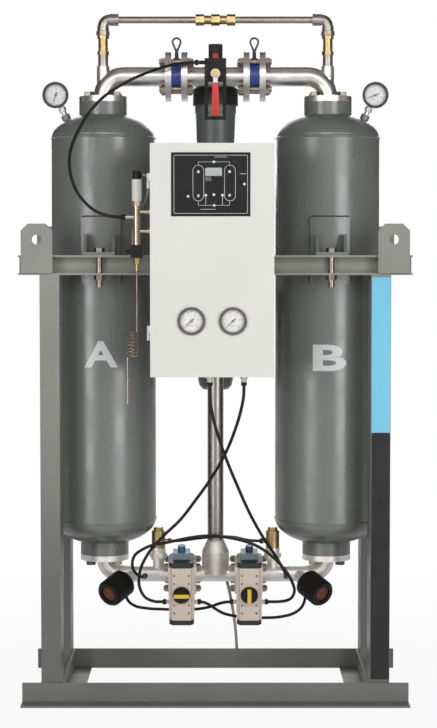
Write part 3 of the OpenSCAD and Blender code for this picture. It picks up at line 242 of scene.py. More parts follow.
M = {
    # The frame paint is darkened near the floor: painted shade
    "frame": painted("frame_paint", srgb(138, 138, 133), rough=0.42, floor_shade=0.52),
    # The base frame takes a darker version of the frame paint: painted shade, since the base gets less
    # light
    "base": painted("base_paint_shaded_copy", srgb(109, 110, 106), rough=0.46),
    "vessel": painted("vessel_paint", srgb(104, 107, 105), rough=0.30, vary=0.05, specular=0.9),
    "galvanised": metal("galvanised", (0.72, 0.70, 0.66), rough=0.34, vary=0.05, strength=0.02,
                        spangle=90),
    # The lower pipes take a lighter, less metallic version of the galvanised metal: painted light, so they
    # look brightly lit
    "lower": metal("lower_pipe_painted_light", (0.86, 0.84, 0.79), rough=0.40, vary=0.04, strength=0.02, spangle=90,
                   metallic=0.66),
    # The inlet riser takes a darker version of the pipe metal: painted shade, to keep it dim under the
    # bright front light
    "riser": metal("riser_pipe_painted_shade", (0.28, 0.27, 0.255), rough=0.32, vary=0.06, strength=0.02),
    "purge": metal("purge_pipe", (0.37, 0.335, 0.30), rough=0.36),
    "bright": metal("bright_steel", (0.70, 0.70, 0.69), rough=0.24, grain=(1, 1, 0.1)),
    "zinc": metal("yellow_zinc", (0.30, 0.26, 0.20), rough=0.34, vary=0.3),
    "blue": painted("blue_enamel", srgb(58, 76, 150), rough=0.3),
    "navy": painted("dark_blue_enamel", srgb(38, 46, 84), rough=0.35),
    "brass": metal("brass", (0.50, 0.37, 0.17), rough=0.30),
    "old_brass": metal("old_brass", (0.40, 0.29, 0.14), rough=0.38, vary=0.2),
    "coil": metal("coil_steel", (0.34, 0.27, 0.21), rough=0.35, vary=0.2),
    "bronze": metal("bronze_cell", (0.52, 0.44, 0.34), rough=0.28),
    "black": plastic("black_plastic", (0.010, 0.009, 0.009), rough=0.5, specular=0.25),
    "red": painted("red_grip", srgb(206, 58, 48), rough=0.35),
    "cabinet": painted("cabinet_paint", srgb(218, 218, 213), rough=0.5, vary=0.02, peel=900,
                       strength=0.1),
    "panel": plastic("panel_film", (0.012, 0.012, 0.013), rough=0.35, pebble=900, strength=0.05,
                     specular=0.22),
    "case": painted("gauge_case", srgb(50, 51, 54), rough=0.35),
    "bezel": metal("bezel", (0.20, 0.175, 0.17), rough=0.24),
    "steel": metal("plain_steel", (0.48, 0.48, 0.48), rough=0.27),
    "glass": clear("gauge_glass", (0.96, 0.98, 0.98)),
    "ink": plastic("black_ink", (0.012, 0.012, 0.012), rough=0.6),
    "seal": plastic("seal_rubber", (0.02, 0.02, 0.02), rough=0.7, pebble=900),
    "plate": metal("zinc_plate", (0.60, 0.61, 0.60), rough=0.34, spangle=60),
    "grey": plastic("grey_plastic", (0.10, 0.11, 0.12), rough=0.5),
    "alu": metal("manifold_alu", (0.68, 0.69, 0.70), rough=0.3),
    "white": plastic("white_plastic", srgb(224, 223, 218), rough=0.4, vary=0.03),
    # The weld beads' paint is darker than the vessel paint: painted shade along the pads' edges
    "weld": painted("weld_bead_painted_shade", srgb(66, 69, 68), rough=0.5, peel=240, strength=0.2),
    "iron": painted("valve_paint", srgb(70, 72, 72), rough=0.5, strength=0.2, peel=240),
    "actuator": painted("actuator_anodised", srgb(206, 194, 180), rough=0.36, vary=0.06, specular=0.5),
    "cap": painted("actuator_cap_paint", srgb(44, 45, 48), rough=0.45),
    "pilot": painted("pilot_paint", srgb(104, 122, 132), rough=0.4),
    "teal": plastic("teal_plastic", srgb(30, 84, 104), rough=0.4),
    "knob": plastic("dark_blue_plastic", srgb(34, 44, 82), rough=0.4),
    "filter": painted("filter_coat", srgb(34, 36, 37), rough=0.42),
    "bowl": painted("bowl_coat", srgb(90, 94, 93), rough=0.33),
    "hose": plastic("black_hose", (0.012, 0.011, 0.011), rough=0.46, pebble=300, strength=0.05,
                    specular=0.22),
    "grey_hose": plastic("grey_hose", srgb(150, 152, 152), rough=0.4, pebble=300, strength=0.05),
    "beads": beads("desiccant_beads", (0.80, 0.78, 0.74)),
    "paper": pleats("pleated_paper", (0.80, 0.74, 0.55)),
    "dial": plastic("dial_white", srgb(240, 240, 236), rough=0.5, vary=0.02),
    "yellow": plastic("yellow_mark", srgb(226, 190, 66), rough=0.4),
    "letter": painted("letter_film", srgb(206, 208, 208), rough=0.35, vary=0.05),
    "strip_blue": painted("strip_blue", srgb(118, 196, 228), rough=0.3, vary=0.05),
    "strip_black": painted("strip_black", srgb(30, 28, 29), rough=0.3, vary=0.05),
    "line": plastic("line_print", srgb(196, 198, 198), rough=0.5),
    "screen": plastic("display_film", srgb(176, 182, 178), rough=0.25),
    "lamp": plastic("pilot_lens", srgb(222, 222, 214), rough=0.2),
    "core": sponge("sintered_core", srgb(112, 66, 44)),
}
NODE_MATERIALS = {
    "frame": ["uprights", "cross_beams", "lifting_lugs"],
    "base": ["base_frame"],
    "vessel": ["vessel_left", "vessel_right", "saddle_brackets"],
    "galvanised": ["outlet_bends", "outlet_tee"],
    "lower": ["inlet_tee", "lower_bends", "exhaust_valves"],
    "riser": ["inlet_riser"],
    "purge": ["purge_risers", "purge_elbows"],
    "bright": ["bed_screens", "check_disc_left", "check_disc_right", "left_valve_ball", "right_valve_ball"],
    "steel": ["sample_valve_lever"],
    "bronze": ["sample_cell"],
    "zinc": ["bolts"],
    "blue": ["check_valves"],
    "navy": ["lifting_eyes"],
    "brass": ["sample_valve_stem", "purge_unions"],
    "old_brass": ["exhaust_heads"],
    "coil": ["sample_coil"],
    "black": ["sample_valve_body", "left_indicator", "right_indicator", "silencers"],
    "cabinet": ["cabinet_box", "cabinet_door"],
    "panel": ["mimic_panel"],
    "case": ["vessel_gauges"],
    "bezel": ["door_gauges"],
    "glass": ["vessel_gauge_lenses", "door_gauge_lenses"],
    "ink": ["vessel_pointer_left", "vessel_pointer_right", "door_pointer_left", "door_pointer_right"],
    "seal": ["door_seal"],
    "plate": ["mounting_plate"],
    "grey": ["controller"],
    "alu": ["solenoid_manifold"],
    "white": ["dewpoint_sensor"],
    "iron": ["inlet_valve_bodies"],
    "actuator": ["actuators"],
    "cap": ["actuator_caps"],
    "pilot": ["pilot_valves"],
    "filter": ["filter_heads"],
    "bowl": ["filter_bowls"],
    "hose": ["sample_hose", "control_tubes"],
    "grey_hose": ["drain_hose"],
    "beads": ["desiccant_beds"],
    "paper": ["filter_elements"],
}
for key, names in NODE_MATERIALS.items():
    for name in names:
        nodes[name].data.materials.clear()
        nodes[name].data.materials.append(M[key])


def second_material(name, key, chosen):
    """Gives the faces of a CAD node whose middle passes the test another material."""
    mesh = nodes[name].data
    mesh.materials.append(M[key])
    index = len(mesh.materials) - 1
    for face in mesh.polygons:
        if chosen(face.center):
            face.material_index = index


# Places and sizes of the CAD source, in millimetres
SENSOR_Z = 1186
CELL_BLOCK = (SENSOR_Z - 46, SENSOR_Z - 12.5)
SENSOR_CAP_LOW = SENSOR_Z + 150.5
COIL_LOW = 1133.5
CABINET_X = -7.5
CONTROLLER_HALF = 60.2
HEADER_Z = 1617
LOWER_Z = 301
VALVE_X = 88
VALVE_TILT = Matrix.Rotation(math.radians(12), 4, "X")
KNOB_LOW, BAR_FRONT = 102.5, -162.6  # in the valve's own frame
SILENCER_X, SILENCER_TURN, SILENCER_DIP = 215, math.radians(36), math.radians(110)
SILENCER_NECK_END, SILENCER_MOUTH = 52, 112  # along the silencer
TOP_SEAM, HEAD_H = 1455, 68
GAUGE_OFF, GAUGE_TILT, GAUGE_REACH = 95, math.radians(25), 71
GAUGE_SEAT_Z = TOP_SEAM + HEAD_H * math.sqrt(1 - (GAUGE_OFF * MM / VESSEL_R) ** 2)
GAUGE_EDGE = 34.7


def valve_place(side):
    """The frame of one inlet valve: X along the pipe, Y back along the leaning stem."""
    return Matrix.Translation(at(side * VALVE_X, 0, LOWER_Z)) @ VALVE_TILT


def silencer_place(side):
    """The frame of one silencer, with its length along Z."""
    turn = Matrix.Rotation(side * SILENCER_TURN, 4, "Z") @ Matrix.Rotation(SILENCER_DIP, 4, "X")
    return Matrix.Translation(at(side * SILENCER_X, 0, LOWER_Z)) @ turn


def gauge_middle(side):
    """The centre of a vessel gauge's case."""
    return at(side * (VESSEL_X / MM + GAUGE_OFF + GAUGE_REACH * math.sin(GAUGE_TILT)), 0,
              GAUGE_SEAT_Z + GAUGE_REACH * math.cos(GAUGE_TILT))


def side_of(point):
    return 1 if point.x > 0 else -1


def on_knob(c, side):
    return side_of(c) == side and (valve_place(side).inverted() @ c).z > KNOB_LOW * MM


def off_case(c):
    away = c - gauge_middle(side_of(c))
    return math.hypot(away.x, away.z) > GAUGE_EDGE * MM


for name, side in (("left_indicator", -1), ("right_indicator", 1)):
    second_material(name, "yellow",
                    lambda c, side=side: (valve_place(side).inverted() @ c).y < BAR_FRONT * MM)
second_material("pilot_valves", "teal", lambda c: on_knob(c, -1))
second_material("pilot_valves", "knob", lambda c: on_knob(c, 1))
second_material("silencers", "galvanised",
                lambda c: (silencer_place(side_of(c)).inverted() @ c).z < SILENCER_NECK_END * MM)
second_material("sample_cell", "black", lambda c: CELL_BLOCK[0] * MM < c.z < CELL_BLOCK[1] * MM)
second_material("sample_cell", "brass", lambda c: c.z < CELL_BLOCK[0] * MM)
second_material("dewpoint_sensor", "black", lambda c: c.z > SENSOR_CAP_LOW * MM)
second_material("vessel_gauges", "steel", off_case)
second_material("solenoid_manifold", "black", lambda c: c.z > COIL_LOW * MM)
second_material("controller", "plate", lambda c: abs(c.x - CABINET_X * MM) > CONTROLLER_HALF * MM)


# Making pieces
FACE_FRONT = Matrix.Rotation(math.radians(90), 4, "X")


def add(name, mesh, body, material, smooth=True):
    """Makes a mesh a piece that rides on a body, with one material or a list of them."""
    piece = bpy.data.objects.new(name, mesh)
    bpy.context.scene.collection.objects.link(piece)
    for m in material if isinstance(material, list) else [material]:
        mesh.materials.append(m)
    if smooth:
        mesh.shade_smooth()
        mesh.set_sharp_from_angle(angle=math.radians(35))
    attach(piece, body)
    return piece


def to_mesh(bm, name):
    bmesh.ops.recalc_face_normals(bm, faces=bm.faces[:])
    mesh = bpy.data.meshes.new(name)
    bm.to_mesh(mesh)
    bm.free()
    return mesh


def turned(bm, profile, place, segments):
    """Adds the solid of revolution of (radius, height) points about its own Z, placed by a matrix."""
    rings = []
    for r, h in profile:
        if r < 1e-7:
            rings.append([bm.verts.new(place @ Vector((0, 0, h)))])
        else:
            rings.append([bm.verts.new(place @ Vector((r * math.cos(a), r * math.sin(a), h)))
                          for a in (2 * math.pi * k / segments for k in range(segments))])
    for low, high in zip(rings, rings[1:]):
        for k in range(segments):
            corners = [low[k % len(low)], low[(k + 1) % len(low)],
                       high[(k + 1) % len(high)], high[k % len(high)]]
            unique = list(dict.fromkeys(corners))
            if len(unique) > 2:
                bm.faces.new(unique)


def rounded(x0, x1, y0, y1, corner, steps):
    """The points of a rectangle with round corners."""
    points = []
    for cx, cy, start in ((x1 - corner, y1 - corner, 0), (x0 + corner, y1 - corner, 90),
                          (x0 + corner, y0 + corner, 180), (x1 - corner, y0 + corner, 270)):
        for k in range(steps + 1):
            a = math.radians(start + 90 * k / steps)
            points.append((cx + corner * math.cos(a), cy + corner * math.sin(a)))
    return points


def slab(bm, x0, x1, y0, y1, z0, z1, corner, place=Matrix.Identity(4), steps=5, material=0):
    """Adds a plate in X and Y with round corners, from z0 to z1."""
    outline = rounded(x0, x1, y0, y1, corner, steps)
    low = [bm.verts.new(place @ Vector((x, y, z0))) for x, y in outline]
    high = [bm.verts.new(place @ Vector((x, y, z1))) for x, y in outline]
    count = len(outline)
    bm.faces.new(high).material_index = material
    bm.faces.new(list(reversed(low))).material_index = material
    for k in range(count):
        side_face = bm.faces.new([low[k], low[(k + 1) % count], high[(k + 1) % count], high[k]])
        side_face.material_index = material


def curve_piece(name, splines, radius, material, body, cyclic=False):
    """Makes round tubes along lists of points one piece that rides on a body."""
    data = bpy.data.curves.new(name, "CURVE")
    data.dimensions = "3D"
    data.bevel_depth = radius
    data.bevel_resolution = 3
    data.use_fill_caps = True
    for points in splines:
        spline = data.splines.new("POLY")
        spline.points.add(len(points) - 1)
        for target, p in zip(spline.points, points):
            target.co = (*p, 1)
        spline.use_cyclic_u = cyclic
        spline.use_smooth = True
    data.materials.append(material)
    piece = bpy.data.objects.new(name, data)
    bpy.context.scene.collection.objects.link(piece)
    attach(piece, body)
    return piece


def text_mesh(word, width, height, depth, bold=0.0):
    """Lettering centred on the origin, from z = 0 to depth; without a width it keeps its own shape."""
    data = bpy.data.curves.new("lettering", "FONT")
    data.body = word
    data.extrude = 0.5
    data.offset = bold
    data.resolution_u = 4
    holder = bpy.data.objects.new("lettering", data)
    bpy.context.scene.collection.objects.link(holder)
    bpy.context.view_layer.update()
    mesh = bpy.data.meshes.new_from_object(holder.evaluated_get(bpy.context.evaluated_depsgraph_get()))
    bpy.data.objects.remove(holder)
    bpy.data.curves.remove(data)
    xs = [v.co.x for v in mesh.vertices]
    ys = [v.co.y for v in mesh.vertices]
    left, right, bottom, top = min(xs), max(xs), min(ys), max(ys)
    up = height / (top - bottom)
    across = width / (right - left) if width else up
    for v in mesh.vertices:
        v.co = Vector(((v.co.x - (right + left) / 2) * across, (v.co.y - (top + bottom) / 2) * up,
                       (v.co.z + 0.5) * depth))
    bm = bmesh.new()
    bm.from_mesh(mesh)
    bmesh.ops.remove_doubles(bm, verts=bm.verts[:], dist=1e-6)
    bpy.data.meshes.remove(mesh)
    return bm


# Hoses and tubes along the routes of the CAD source, in millimetres from the vessels' plane
SAMPLE = [(-44.3, -61.4, 1648), (-54, -61.4, 1648), (-66, -62.5, 1647.6), (-100, -78, 1642),
          (-165, -116, 1620), (-240, -150, 1582), (-290, -168, 1545), (-340, -190, 1477),
          (-368, -220, 1388), (-346, -245, 1305), (-291, -264, 1254), (-248, -269.6, 1243.6),
          (-234.5, -270, 1243), (-224.3, -270, 1243)]
TUBES = [
    [(71.5, -300, 831.7), (71.5, -300, 818), (71, -299, 800), (64, -290, 760), (48, -270, 705),
     (22, -240, 640), (-14, -205, 575), (-52, -172, 518), (-92, -148, 464), (-136, -134, 420),
     (-172, -126, 378), (-196, -120, 328), (-198, -112, 284), (-182, -104, 254), (-156, -100.5, 243.3),
     (-142, -100.1, 242.9), (-129.3, -100.1, 242.9)],
    [(-13.5, -300, 831.7), (-13.5, -300, 818), (-13.5, -300, 800), (-10, -298, 765), (6, -290, 700),
     (30, -272, 630), (58, -245, 560), (88, -212, 490), (122, -178, 425), (156, -142, 370),
     (178, -108, 328), (186, -78, 307), (187, -60, 301.6), (187, -50, 301), (187, -40.3, 301)],
    [(-126.7, 0, 388.2), (-116, 0, 388.2), (-104, -1.2, 388.6), (-86, -7, 391), (-50, -28, 399),
     (0, -44, 406), (50, -28, 402), (86, -7, 391.4), (104, -1.2, 388.7), (116, 0, 388.2),
     (126.7, 0, 388.2)],
    [(-187, -40.3, 301), (-187, -50, 301), (-187.5, -64, 302), (-193, -88, 306), (-206, -110, 318),
     (-216, -127, 342), (-210, -138, 370), (-182, -143, 391), (-120, -146, 407), (-20, -152, 424),
     (30, -158, 421), (112, -171, 398), (166, -170, 354), (196, -158, 310), (205, -140, 277),
     (195, -120, 254), (170, -104, 244.2), (152, -100.1, 242.9), (141, -100.1, 242.9),
     (129.3, -100.1, 242.9)],
    [(-240, 0, 260.7), (-240, 0, 252), (-239, -0.8, 242), (-232, -5, 227), (-215, -12, 216),
     (-185, -20, 211), (-140, -27, 209.5), (-90, -31, 209.5), (-50, -38, 212), (-24, -50, 218),
     (-6, -66, 226), (8, -81, 234), (20, -92, 239.2), (32, -98.2, 242.1), (41, -100.1, 242.9),
     (46.7, -100.1, 242.9)],
    [(-46.7, -100.1, 242.9), (-41, -100, 242.9), (-32, -98.6, 241.4), (-20, -94, 236), (-7, -85, 226),
     (7, -73, 214.5), (22, -60, 204.5), (40, -46, 197), (75, -36, 190), (125, -34, 188), (176, -33, 191),
     (208, -28, 199), (229, -18, 213), (238, -7, 231), (239.8, -1, 245), (240, 0, 253), (240, 0, 260.7)],
]
CABLE = [(-182.7, -270, 1348), (-179, -270, 1348), (-173.2, -270, 1346.4), (-169.1, -269.6, 1342.3),
         (-167.5, -268.5, 1336), (-168, -264, 1322), (-170.5, -257, 1302), (-179.5, -248, 1277),
         (-191.5, -244, 1252), (-202.5, -246.5, 1226), (-206.8, -254, 1202), (-206.5, -259.4, 1186),
         (-206.5, -260, 1179), (-206.5, -260, 1173.2)]
DRAIN = [(0, 125, 769.7), (0, 125, 758), (0, 125, 742), (0, 125, 690), (0, 126, 600), (0, 128, 500),
         (2, 132, 420), (10, 138, 350), (24, 146, 285), (38, 156, 225), (48, 168, 170), (54, 182, 126),
         (57, 198, 89), (58.4, 212, 68), (58.8, 220, 57), (59, 226, 46), (59, 229, 34), (59, 229.5, 18)]
HOSE_R = 4 * MM
CABLE_R = 2.5 * MM


def smooth(route, step=0.006):
    """The CAD source's smooth curve through a route's points."""
    p = [at(*q) for q in route]
    last = len(p) - 1
    chords = [(b - a).length for a, b in zip(p, p[1:])]

    def lean(i):
        if i in (0, last):
            return (p[1] - p[0] if i == 0 else p[last] - p[last - 1]).normalized()
        before, after = chords[i - 1], chords[i]
        return ((p[i] - p[i - 1]) * after / before + (p[i + 1] - p[i]) * before / after) / (before + after)

    line = []
    for i, chord in enumerate(chords):
        count = math.ceil(chord / step)
        for t in (k / count for k in range(count)):
            ease = t * t * (3 - 2 * t)
            bend = chord * t * (1 - t) * ((1 - t) * lean(i) - t * lean(i + 1))
            line.append(p[i] * (1 - ease) + p[i + 1] * ease + bend)
    return line + [p[-1]]


def hose(name, route, radius, material, node):
    """Adds a smooth hose in place of the CAD node's faceted one."""
    line = smooth(route)
    piece = curve_piece(name, [line], radius, material, "dryer")
    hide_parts(node)
    return line


def black_hose(name, route, node):
    return hose(name, route, HOSE_R, M["hose"], node)


runs = [black_hose("sample_hose_line", SAMPLE, "sample_hose")]
for number, route in enumerate(TUBES, 1):
    runs.append(black_hose(f"control_tube_{number}", route, "control_tubes"))
hose("sensor_cable", CABLE, CABLE_R, M["grey_hose"], "control_tubes")
hose("drain_hose_line", DRAIN, HOSE_R, M["grey_hose"], "drain_hose")

# Push-in collars where the tubes enter their fittings
collars = bmesh.new()
COLLAR = [(0.0043, 0), (0.0068, 0), (0.0074, 0.001), (0.0074, 0.006), (0.0060, 0.009),
          (0.0043, 0.009), (0.0043, 0)]
for line in runs:
    for tip, towards in ((line[0], line[1]), (line[-1], line[-2])):
        turn = (towards - tip).to_track_quat("Z", "Y").to_matrix().to_4x4()
        turned(collars, COLLAR, Matrix.Translation(tip) @ turn, 20)
add("push_in_collars", to_mesh(collars, "push_in_collars"), "dryer", M["black"])

# Plain letters on the vessels, bent to the shell
LETTER_W, LETTER_H, LETTER_T = 0.088, 0.068, 0.0008
LETTER_GAP, LETTER_CUT = 0.0001, 0.006
for char, side, z in (("A", -1, 0.893), ("B", 1, 0.884)):
    bm = text_mesh(char, LETTER_W, LETTER_H, LETTER_T, bold=0.03)
    for k in range(-7, 8):
        bmesh.ops.bisect_plane(bm, geom=bm.verts[:] + bm.edges[:] + bm.faces[:],
                               plane_co=(k * LETTER_CUT, 0, 0), plane_no=(1, 0, 0))
    for v in bm.verts:
        radius = VESSEL_R + LETTER_GAP + v.co.z
        angle = v.co.x / VESSEL_R
        v.co = Vector((side * VESSEL_X + radius * math.sin(angle), AXIS_Y - radius * math.cos(angle),
                       z + v.co.y))
    add(f"letter_{char.lower()}", to_mesh(bm, f"letter_{char}"), "dryer", M["letter"])

# Coloured strips on the front of the right upright
upright_lo, upright_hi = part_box("uprights")
POST_W, STRIP_W, STRIP_T, STRIP_CORNER = 0.050, 0.047, 0.0006, 0.002
strip_place = Matrix.Translation((upright_hi.x - POST_W / 2, upright_lo.y, 0)) @ FACE_FRONT
for name, low, high in (("strip_blue", 0.697, 1.092), ("strip_black", 0.062, 0.6965)):
    bm = bmesh.new()
    slab(bm, -STRIP_W / 2, STRIP_W / 2, low, high, 0.0, STRIP_T, STRIP_CORNER, strip_place)
    add(name, to_mesh(bm, name), "dryer", M[name])

# Mimic panel: a plain flow picture with display and lamps
panel_lo, panel_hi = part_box("mimic_panel")
panel_middle = (panel_lo + panel_hi) / 2
PANEL = Matrix.Translation((panel_middle.x, panel_lo.y, panel_middle.z)) @ FACE_FRONT
LINE_R = 0.0007
CORNER_STEPS = 6


def on_panel(points, lift=0.0002):
    """Millimetres from the panel's middle, as points just in front of it."""
    return [PANEL @ Vector((x * MM, y * MM, lift)) for x, y in points]


loops = [rounded(-43.6, -17.1, -40.2, 46.6, 13, CORNER_STEPS),
         rounded(33.7, 60.5, -40.2, 46.6, 13, CORNER_STEPS),
         rounded(-90, 90, -71, 71, 3, CORNER_STEPS)]
curve_piece("mimic_outlines", [on_panel(q) for q in loops], LINE_R, M["line"], "door",
            cyclic=True)
flow = [[(-30.3, 46.6), (-30.3, 54.8), (46, 54.8), (46, 46.6)], [(9, 66.5), (40, 66.5)],
        [(-30.3, -40.2), (-30.3, -51.3), (46, -51.3), (46, -40.2)], [(-12.2, -29), (-12.2, -51.3)],
        [(28.8, -29), (28.8, -51.3)], [(-25, -61), (12, -61)], [(71, 25.5), (88, 25.5)]]
curve_piece("mimic_lines", [on_panel(q) for q in flow], LINE_R, M["line"], "door")
bm = bmesh.new()
slab(bm, -0.0134, 0.0275, 0.0206, 0.0404, 0, 0.0012, 0.002, PANEL)
slab(bm, -0.0134, 0.0015, 0.008, 0.019, 0, 0.0006, 0.001, PANEL, material=1)
add("mimic_display", to_mesh(bm, "mimic_display"), "door", [M["screen"], M["grey"]])
bm = bmesh.new()
DOME = [(0, 0.0016), (0.0015, 0.0015), (0.0028, 0.0010), (0.0034, 0.0002), (0.0034, 0.0), (0, 0)]
LAMPS = [(-30.3, 30.5), (46.1, 31), (-30.3, -27.8), (46.1, -26.5), (-12.2, -26.5), (7.7, -25.3),
         (28.8, -26.5), (-55.6, -29), (82, 0.7), (8.4, -51.3), (7.7, 54.8)]
for x, y in LAMPS:
    turned(bm, DOME, PANEL @ Matrix.Translation((x * MM, y * MM, 0)), 16)
add("mimic_lamps", to_mesh(bm, "mimic_lamps"), "door", M["lamp"])

# Gauge dials, drawn with the dial towards +Z and up along +Y
DIAL_R, DIAL_Z, SWEEP, ZERO = 0.0268, -0.012, 270, 225
DIAL_T, PRINT_TOP = 0.0006, 0.0009
TICK_R, DIGIT_R, DIGIT_H, DIGIT_T = 0.0245, 0.0168, 0.0042, 0.0003


def dial_mesh(name):
    """A white disc with 51 ticks and the numbers 0 to 10."""
    bm = bmesh.new()
    turned(bm, [(0, DIAL_T), (DIAL_R - DIAL_T, DIAL_T), (DIAL_R, 0), (0, 0)], Matrix.Identity(4), 48)
    for k in range(51):
        angle = math.radians(ZERO - SWEEP * k / 50)
        long = 0.0046 if k % 10 == 0 else 0.0032 if k % 5 == 0 else 0.0020
        wide = 0.0005 if k % 10 == 0 else 0.00025
        turn = Matrix.Rotation(angle, 4, "Z")
        slab(bm, TICK_R - long, TICK_R, -wide, wide, DIAL_T, PRINT_TOP, wide * 0.4, turn, steps=1,
             material=1)
    slab(bm, -0.006, 0.006, -0.0125, -0.0115, DIAL_T, PRINT_TOP, 0.0004, steps=1, material=1)
    for k in range(6):
        angle = math.radians(ZERO - SWEEP * k / 5)
        digits = text_mesh(str(2 * k), 0, DIGIT_H, DIGIT_T)
        spot = Vector((DIGIT_R * math.cos(angle), DIGIT_R * math.sin(angle), DIAL_T))
        for v in digits.verts:
            v.co += spot
        for face in digits.faces:
            face.material_index = 1
        part = bpy.data.meshes.new("digits")
        digits.to_mesh(part)
        digits.free()
        bm.from_mesh(part)
        bpy.data.meshes.remove(part)
    return to_mesh(bm, name)


def dial_at(name, body, place):
    mesh = dial_mesh(name)
    mesh.transform(place @ Matrix.Translation((0, 0, DIAL_Z)))
    add(name, mesh, body, [M["dial"], M["ink"]], smooth=False)


gauge_lo, gauge_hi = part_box("door_gauges")
GAUGE_SPACING = 0.102
GAUGE_HALF_DEPTH = 0.014
for side, name in ((-1, "left"), (1, "right")):
    middle = Vector(((gauge_lo.x + gauge_hi.x + side * GAUGE_SPACING) / 2, gauge_lo.y,
                     (gauge_lo.z + gauge_hi.z) / 2))
    dial_at(f"door_dial_{name}", "door", Matrix.Translation(middle) @ FACE_FRONT)
    middle = gauge_middle(side) - Vector((0, GAUGE_HALF_DEPTH, 0))
    lean = Matrix.Rotation(side * GAUGE_TILT, 4, "Y")
    dial_at(f"vessel_dial_{name}", "dryer", Matrix.Translation(middle) @ lean @ FACE_FRONT)

# Porous cores in the silencers' open ends
bm = bmesh.new()
CORE = [(0, 0.0075), (0.010, 0.0070), (0.018, 0.0052), (0.0215, 0.002), (0.0215, 0), (0, 0)]
for side in (-1, 1):
    turned(bm, CORE, silencer_place(side) @ Matrix.Translation((0, 0, SILENCER_MOUTH * MM)), 32)
add("silencer_cores", to_mesh(bm, "silencer_cores"), "dryer", M["core"])

# Cap screws in the actuators' end caps and on their front faces
SOCKET = [(0, 0.0012), (0.0022, 0.0012), (0.0022, 0.0036), (0.0040, 0.0036), (0.0045, 0.0031),
          (0.0045, 0), (0, 0)]
SMALL = [(0, 0.0004), (0.0012, 0.0004), (0.0012, 0.0012), (0.0026, 0.0012), (0.0030, 0.0008),
         (0.0030, 0), (0, 0)]
ACTUATOR_OUT, ACTUATOR_HALF_DEPTH, ACTUATOR_END = 110, 40, 82
SCREW_X, END_SCREW_Y, FACE_SCREW_Z = 19, 26, (-52, -30, 30, 52)
bm = bmesh.new()
for side in (-1, 1):
    middle = valve_place(side) @ Matrix.Translation((0, -ACTUATOR_OUT * MM, 0))
    for x in (-SCREW_X, SCREW_X):
        for y in (-END_SCREW_Y, END_SCREW_Y):
            for z, flip in ((ACTUATOR_END, 0), (-ACTUATOR_END, 180)):
                place = Matrix.Translation((x * MM, y * MM, z * MM))
                turned(bm, SOCKET, middle @ (place @ Matrix.Rotation(math.radians(flip), 4, "X")), 16)
        for z in FACE_SCREW_Z:
            place = Matrix.Translation((x * MM, -ACTUATOR_HALF_DEPTH * MM, z * MM))
            turned(bm, SMALL, middle @ place @ FACE_FRONT, 14)
add("actuator_screws", to_mesh(bm, "actuator_screws"), "dryer", M["zinc"])

# Dipped red grip on the lower part of the sample lever
LEVER_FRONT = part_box("sample_valve_lever")[0].y
LEVER_T = 0.006
GRIP_TOP, GRIP_END = (-31, 8.2), (-100, 10.6)
GRIP_LAYERS = [(0.0006, 2.2), (-0.0007, 0.7), (-0.0014, 0), (-0.0058, 0), (-0.0067, 0.7), (-0.0072, 2.2)]
bm = bmesh.new()
arcs = [(y, r, start + 180 * k / 12) for (y, r), start in ((GRIP_TOP, 0), (GRIP_END, 180))
        for k in range(13)]
rings = []
for lift, inset in GRIP_LAYERS:
    rings.append([bm.verts.new((
        (r - inset) * math.cos(math.radians(a)) * MM, LEVER_FRONT + LEVER_T + lift,
        (HEADER_Z + y + (r - inset) * math.sin(math.radians(a))) * MM)) for y, r, a in arcs])
for low, high in zip(rings, rings[1:]):
    for k in range(len(low)):
        bm.faces.new([low[k - 1], low[k], high[k], high[k - 1]])
bm.faces.new(rings[0])
bm.faces.new(rings[-1])
add("sample_lever_grip", to_mesh(bm, "sample_lever_grip"), "sample_handle", M["red"])

# Weld beads round the saddle pads on the vessels, in a darker paint that is painted shade along the pads'
# edges
PAD_LOW, PAD_HIGH = 1076, 1246
BEAD_EDGE = math.radians(21) + 0.012
BEAD_R, BEAD_OUT = 0.0026, 0.0012
bead_points = [(-BEAD_EDGE, PAD_LOW), (-BEAD_EDGE, PAD_HIGH - 2)]
bead_points += [(BEAD_EDGE * (k / 8 - 1), PAD_HIGH + 1.5) for k in range(1, 16)]
bead_points += [(BEAD_EDGE, PAD_HIGH - 2), (BEAD_EDGE, PAD_LOW)]


def on_shell(side, front, angle, z):
    r = VESSEL_R + BEAD_OUT
    return Vector((side * VESSEL_X + r * math.sin(angle), AXIS_Y + front * r * math.cos(angle), z * MM))


welds = [[on_shell(side, front, *p) for p in bead_points] for side in (-1, 1) for front in (-1, 1)]
curve_piece("pad_welds", welds, BEAD_R, M["weld"], "dryer")

# Bands on the sockets of the purge elbows
BAND = [(0.0153, 0), (0.0172, 0), (0.0180, 0.0008), (0.0180, 0.0112), (0.0172, 0.012),
        (0.0153, 0.012), (0.0153, 0)]
ELBOW_START = 1723.6
bm = bmesh.new()
for side in (-1, 1):
    turned(bm, BAND, Matrix.Translation((side * VESSEL_X, AXIS_Y, ELBOW_START * MM)), 32)
add("elbow_bands", to_mesh(bm, "elbow_bands"), "dryer", M["purge"])

# Red window in the turret of the after-filter
heads_lo, heads_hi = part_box("filter_heads")
TURRET_Y = (heads_lo.y + heads_hi.y) / 2
WINDOW_HALF = 0.42
WINDOW = [(0.0186, 1668), (0.0196, 1668.6), (0.0196, 1689.4), (0.0186, 1690)]
bm = bmesh.new()
columns = []
for k in range(9):
    angle = WINDOW_HALF * (k / 4 - 1)
    columns.append([bm.verts.new((r * math.sin(angle), TURRET_Y - r * math.cos(angle), z * MM))
                    for r, z in WINDOW])
for left, right in zip(columns, columns[1:]):
    for k in range(len(WINDOW)):
        bm.faces.new([left[k - 1], left[k], right[k], right[k - 1]])
bm.faces.new(columns[0])
bm.faces.new(columns[-1])
add("turret_window", to_mesh(bm, "turret_window"), "dryer", M["red"])

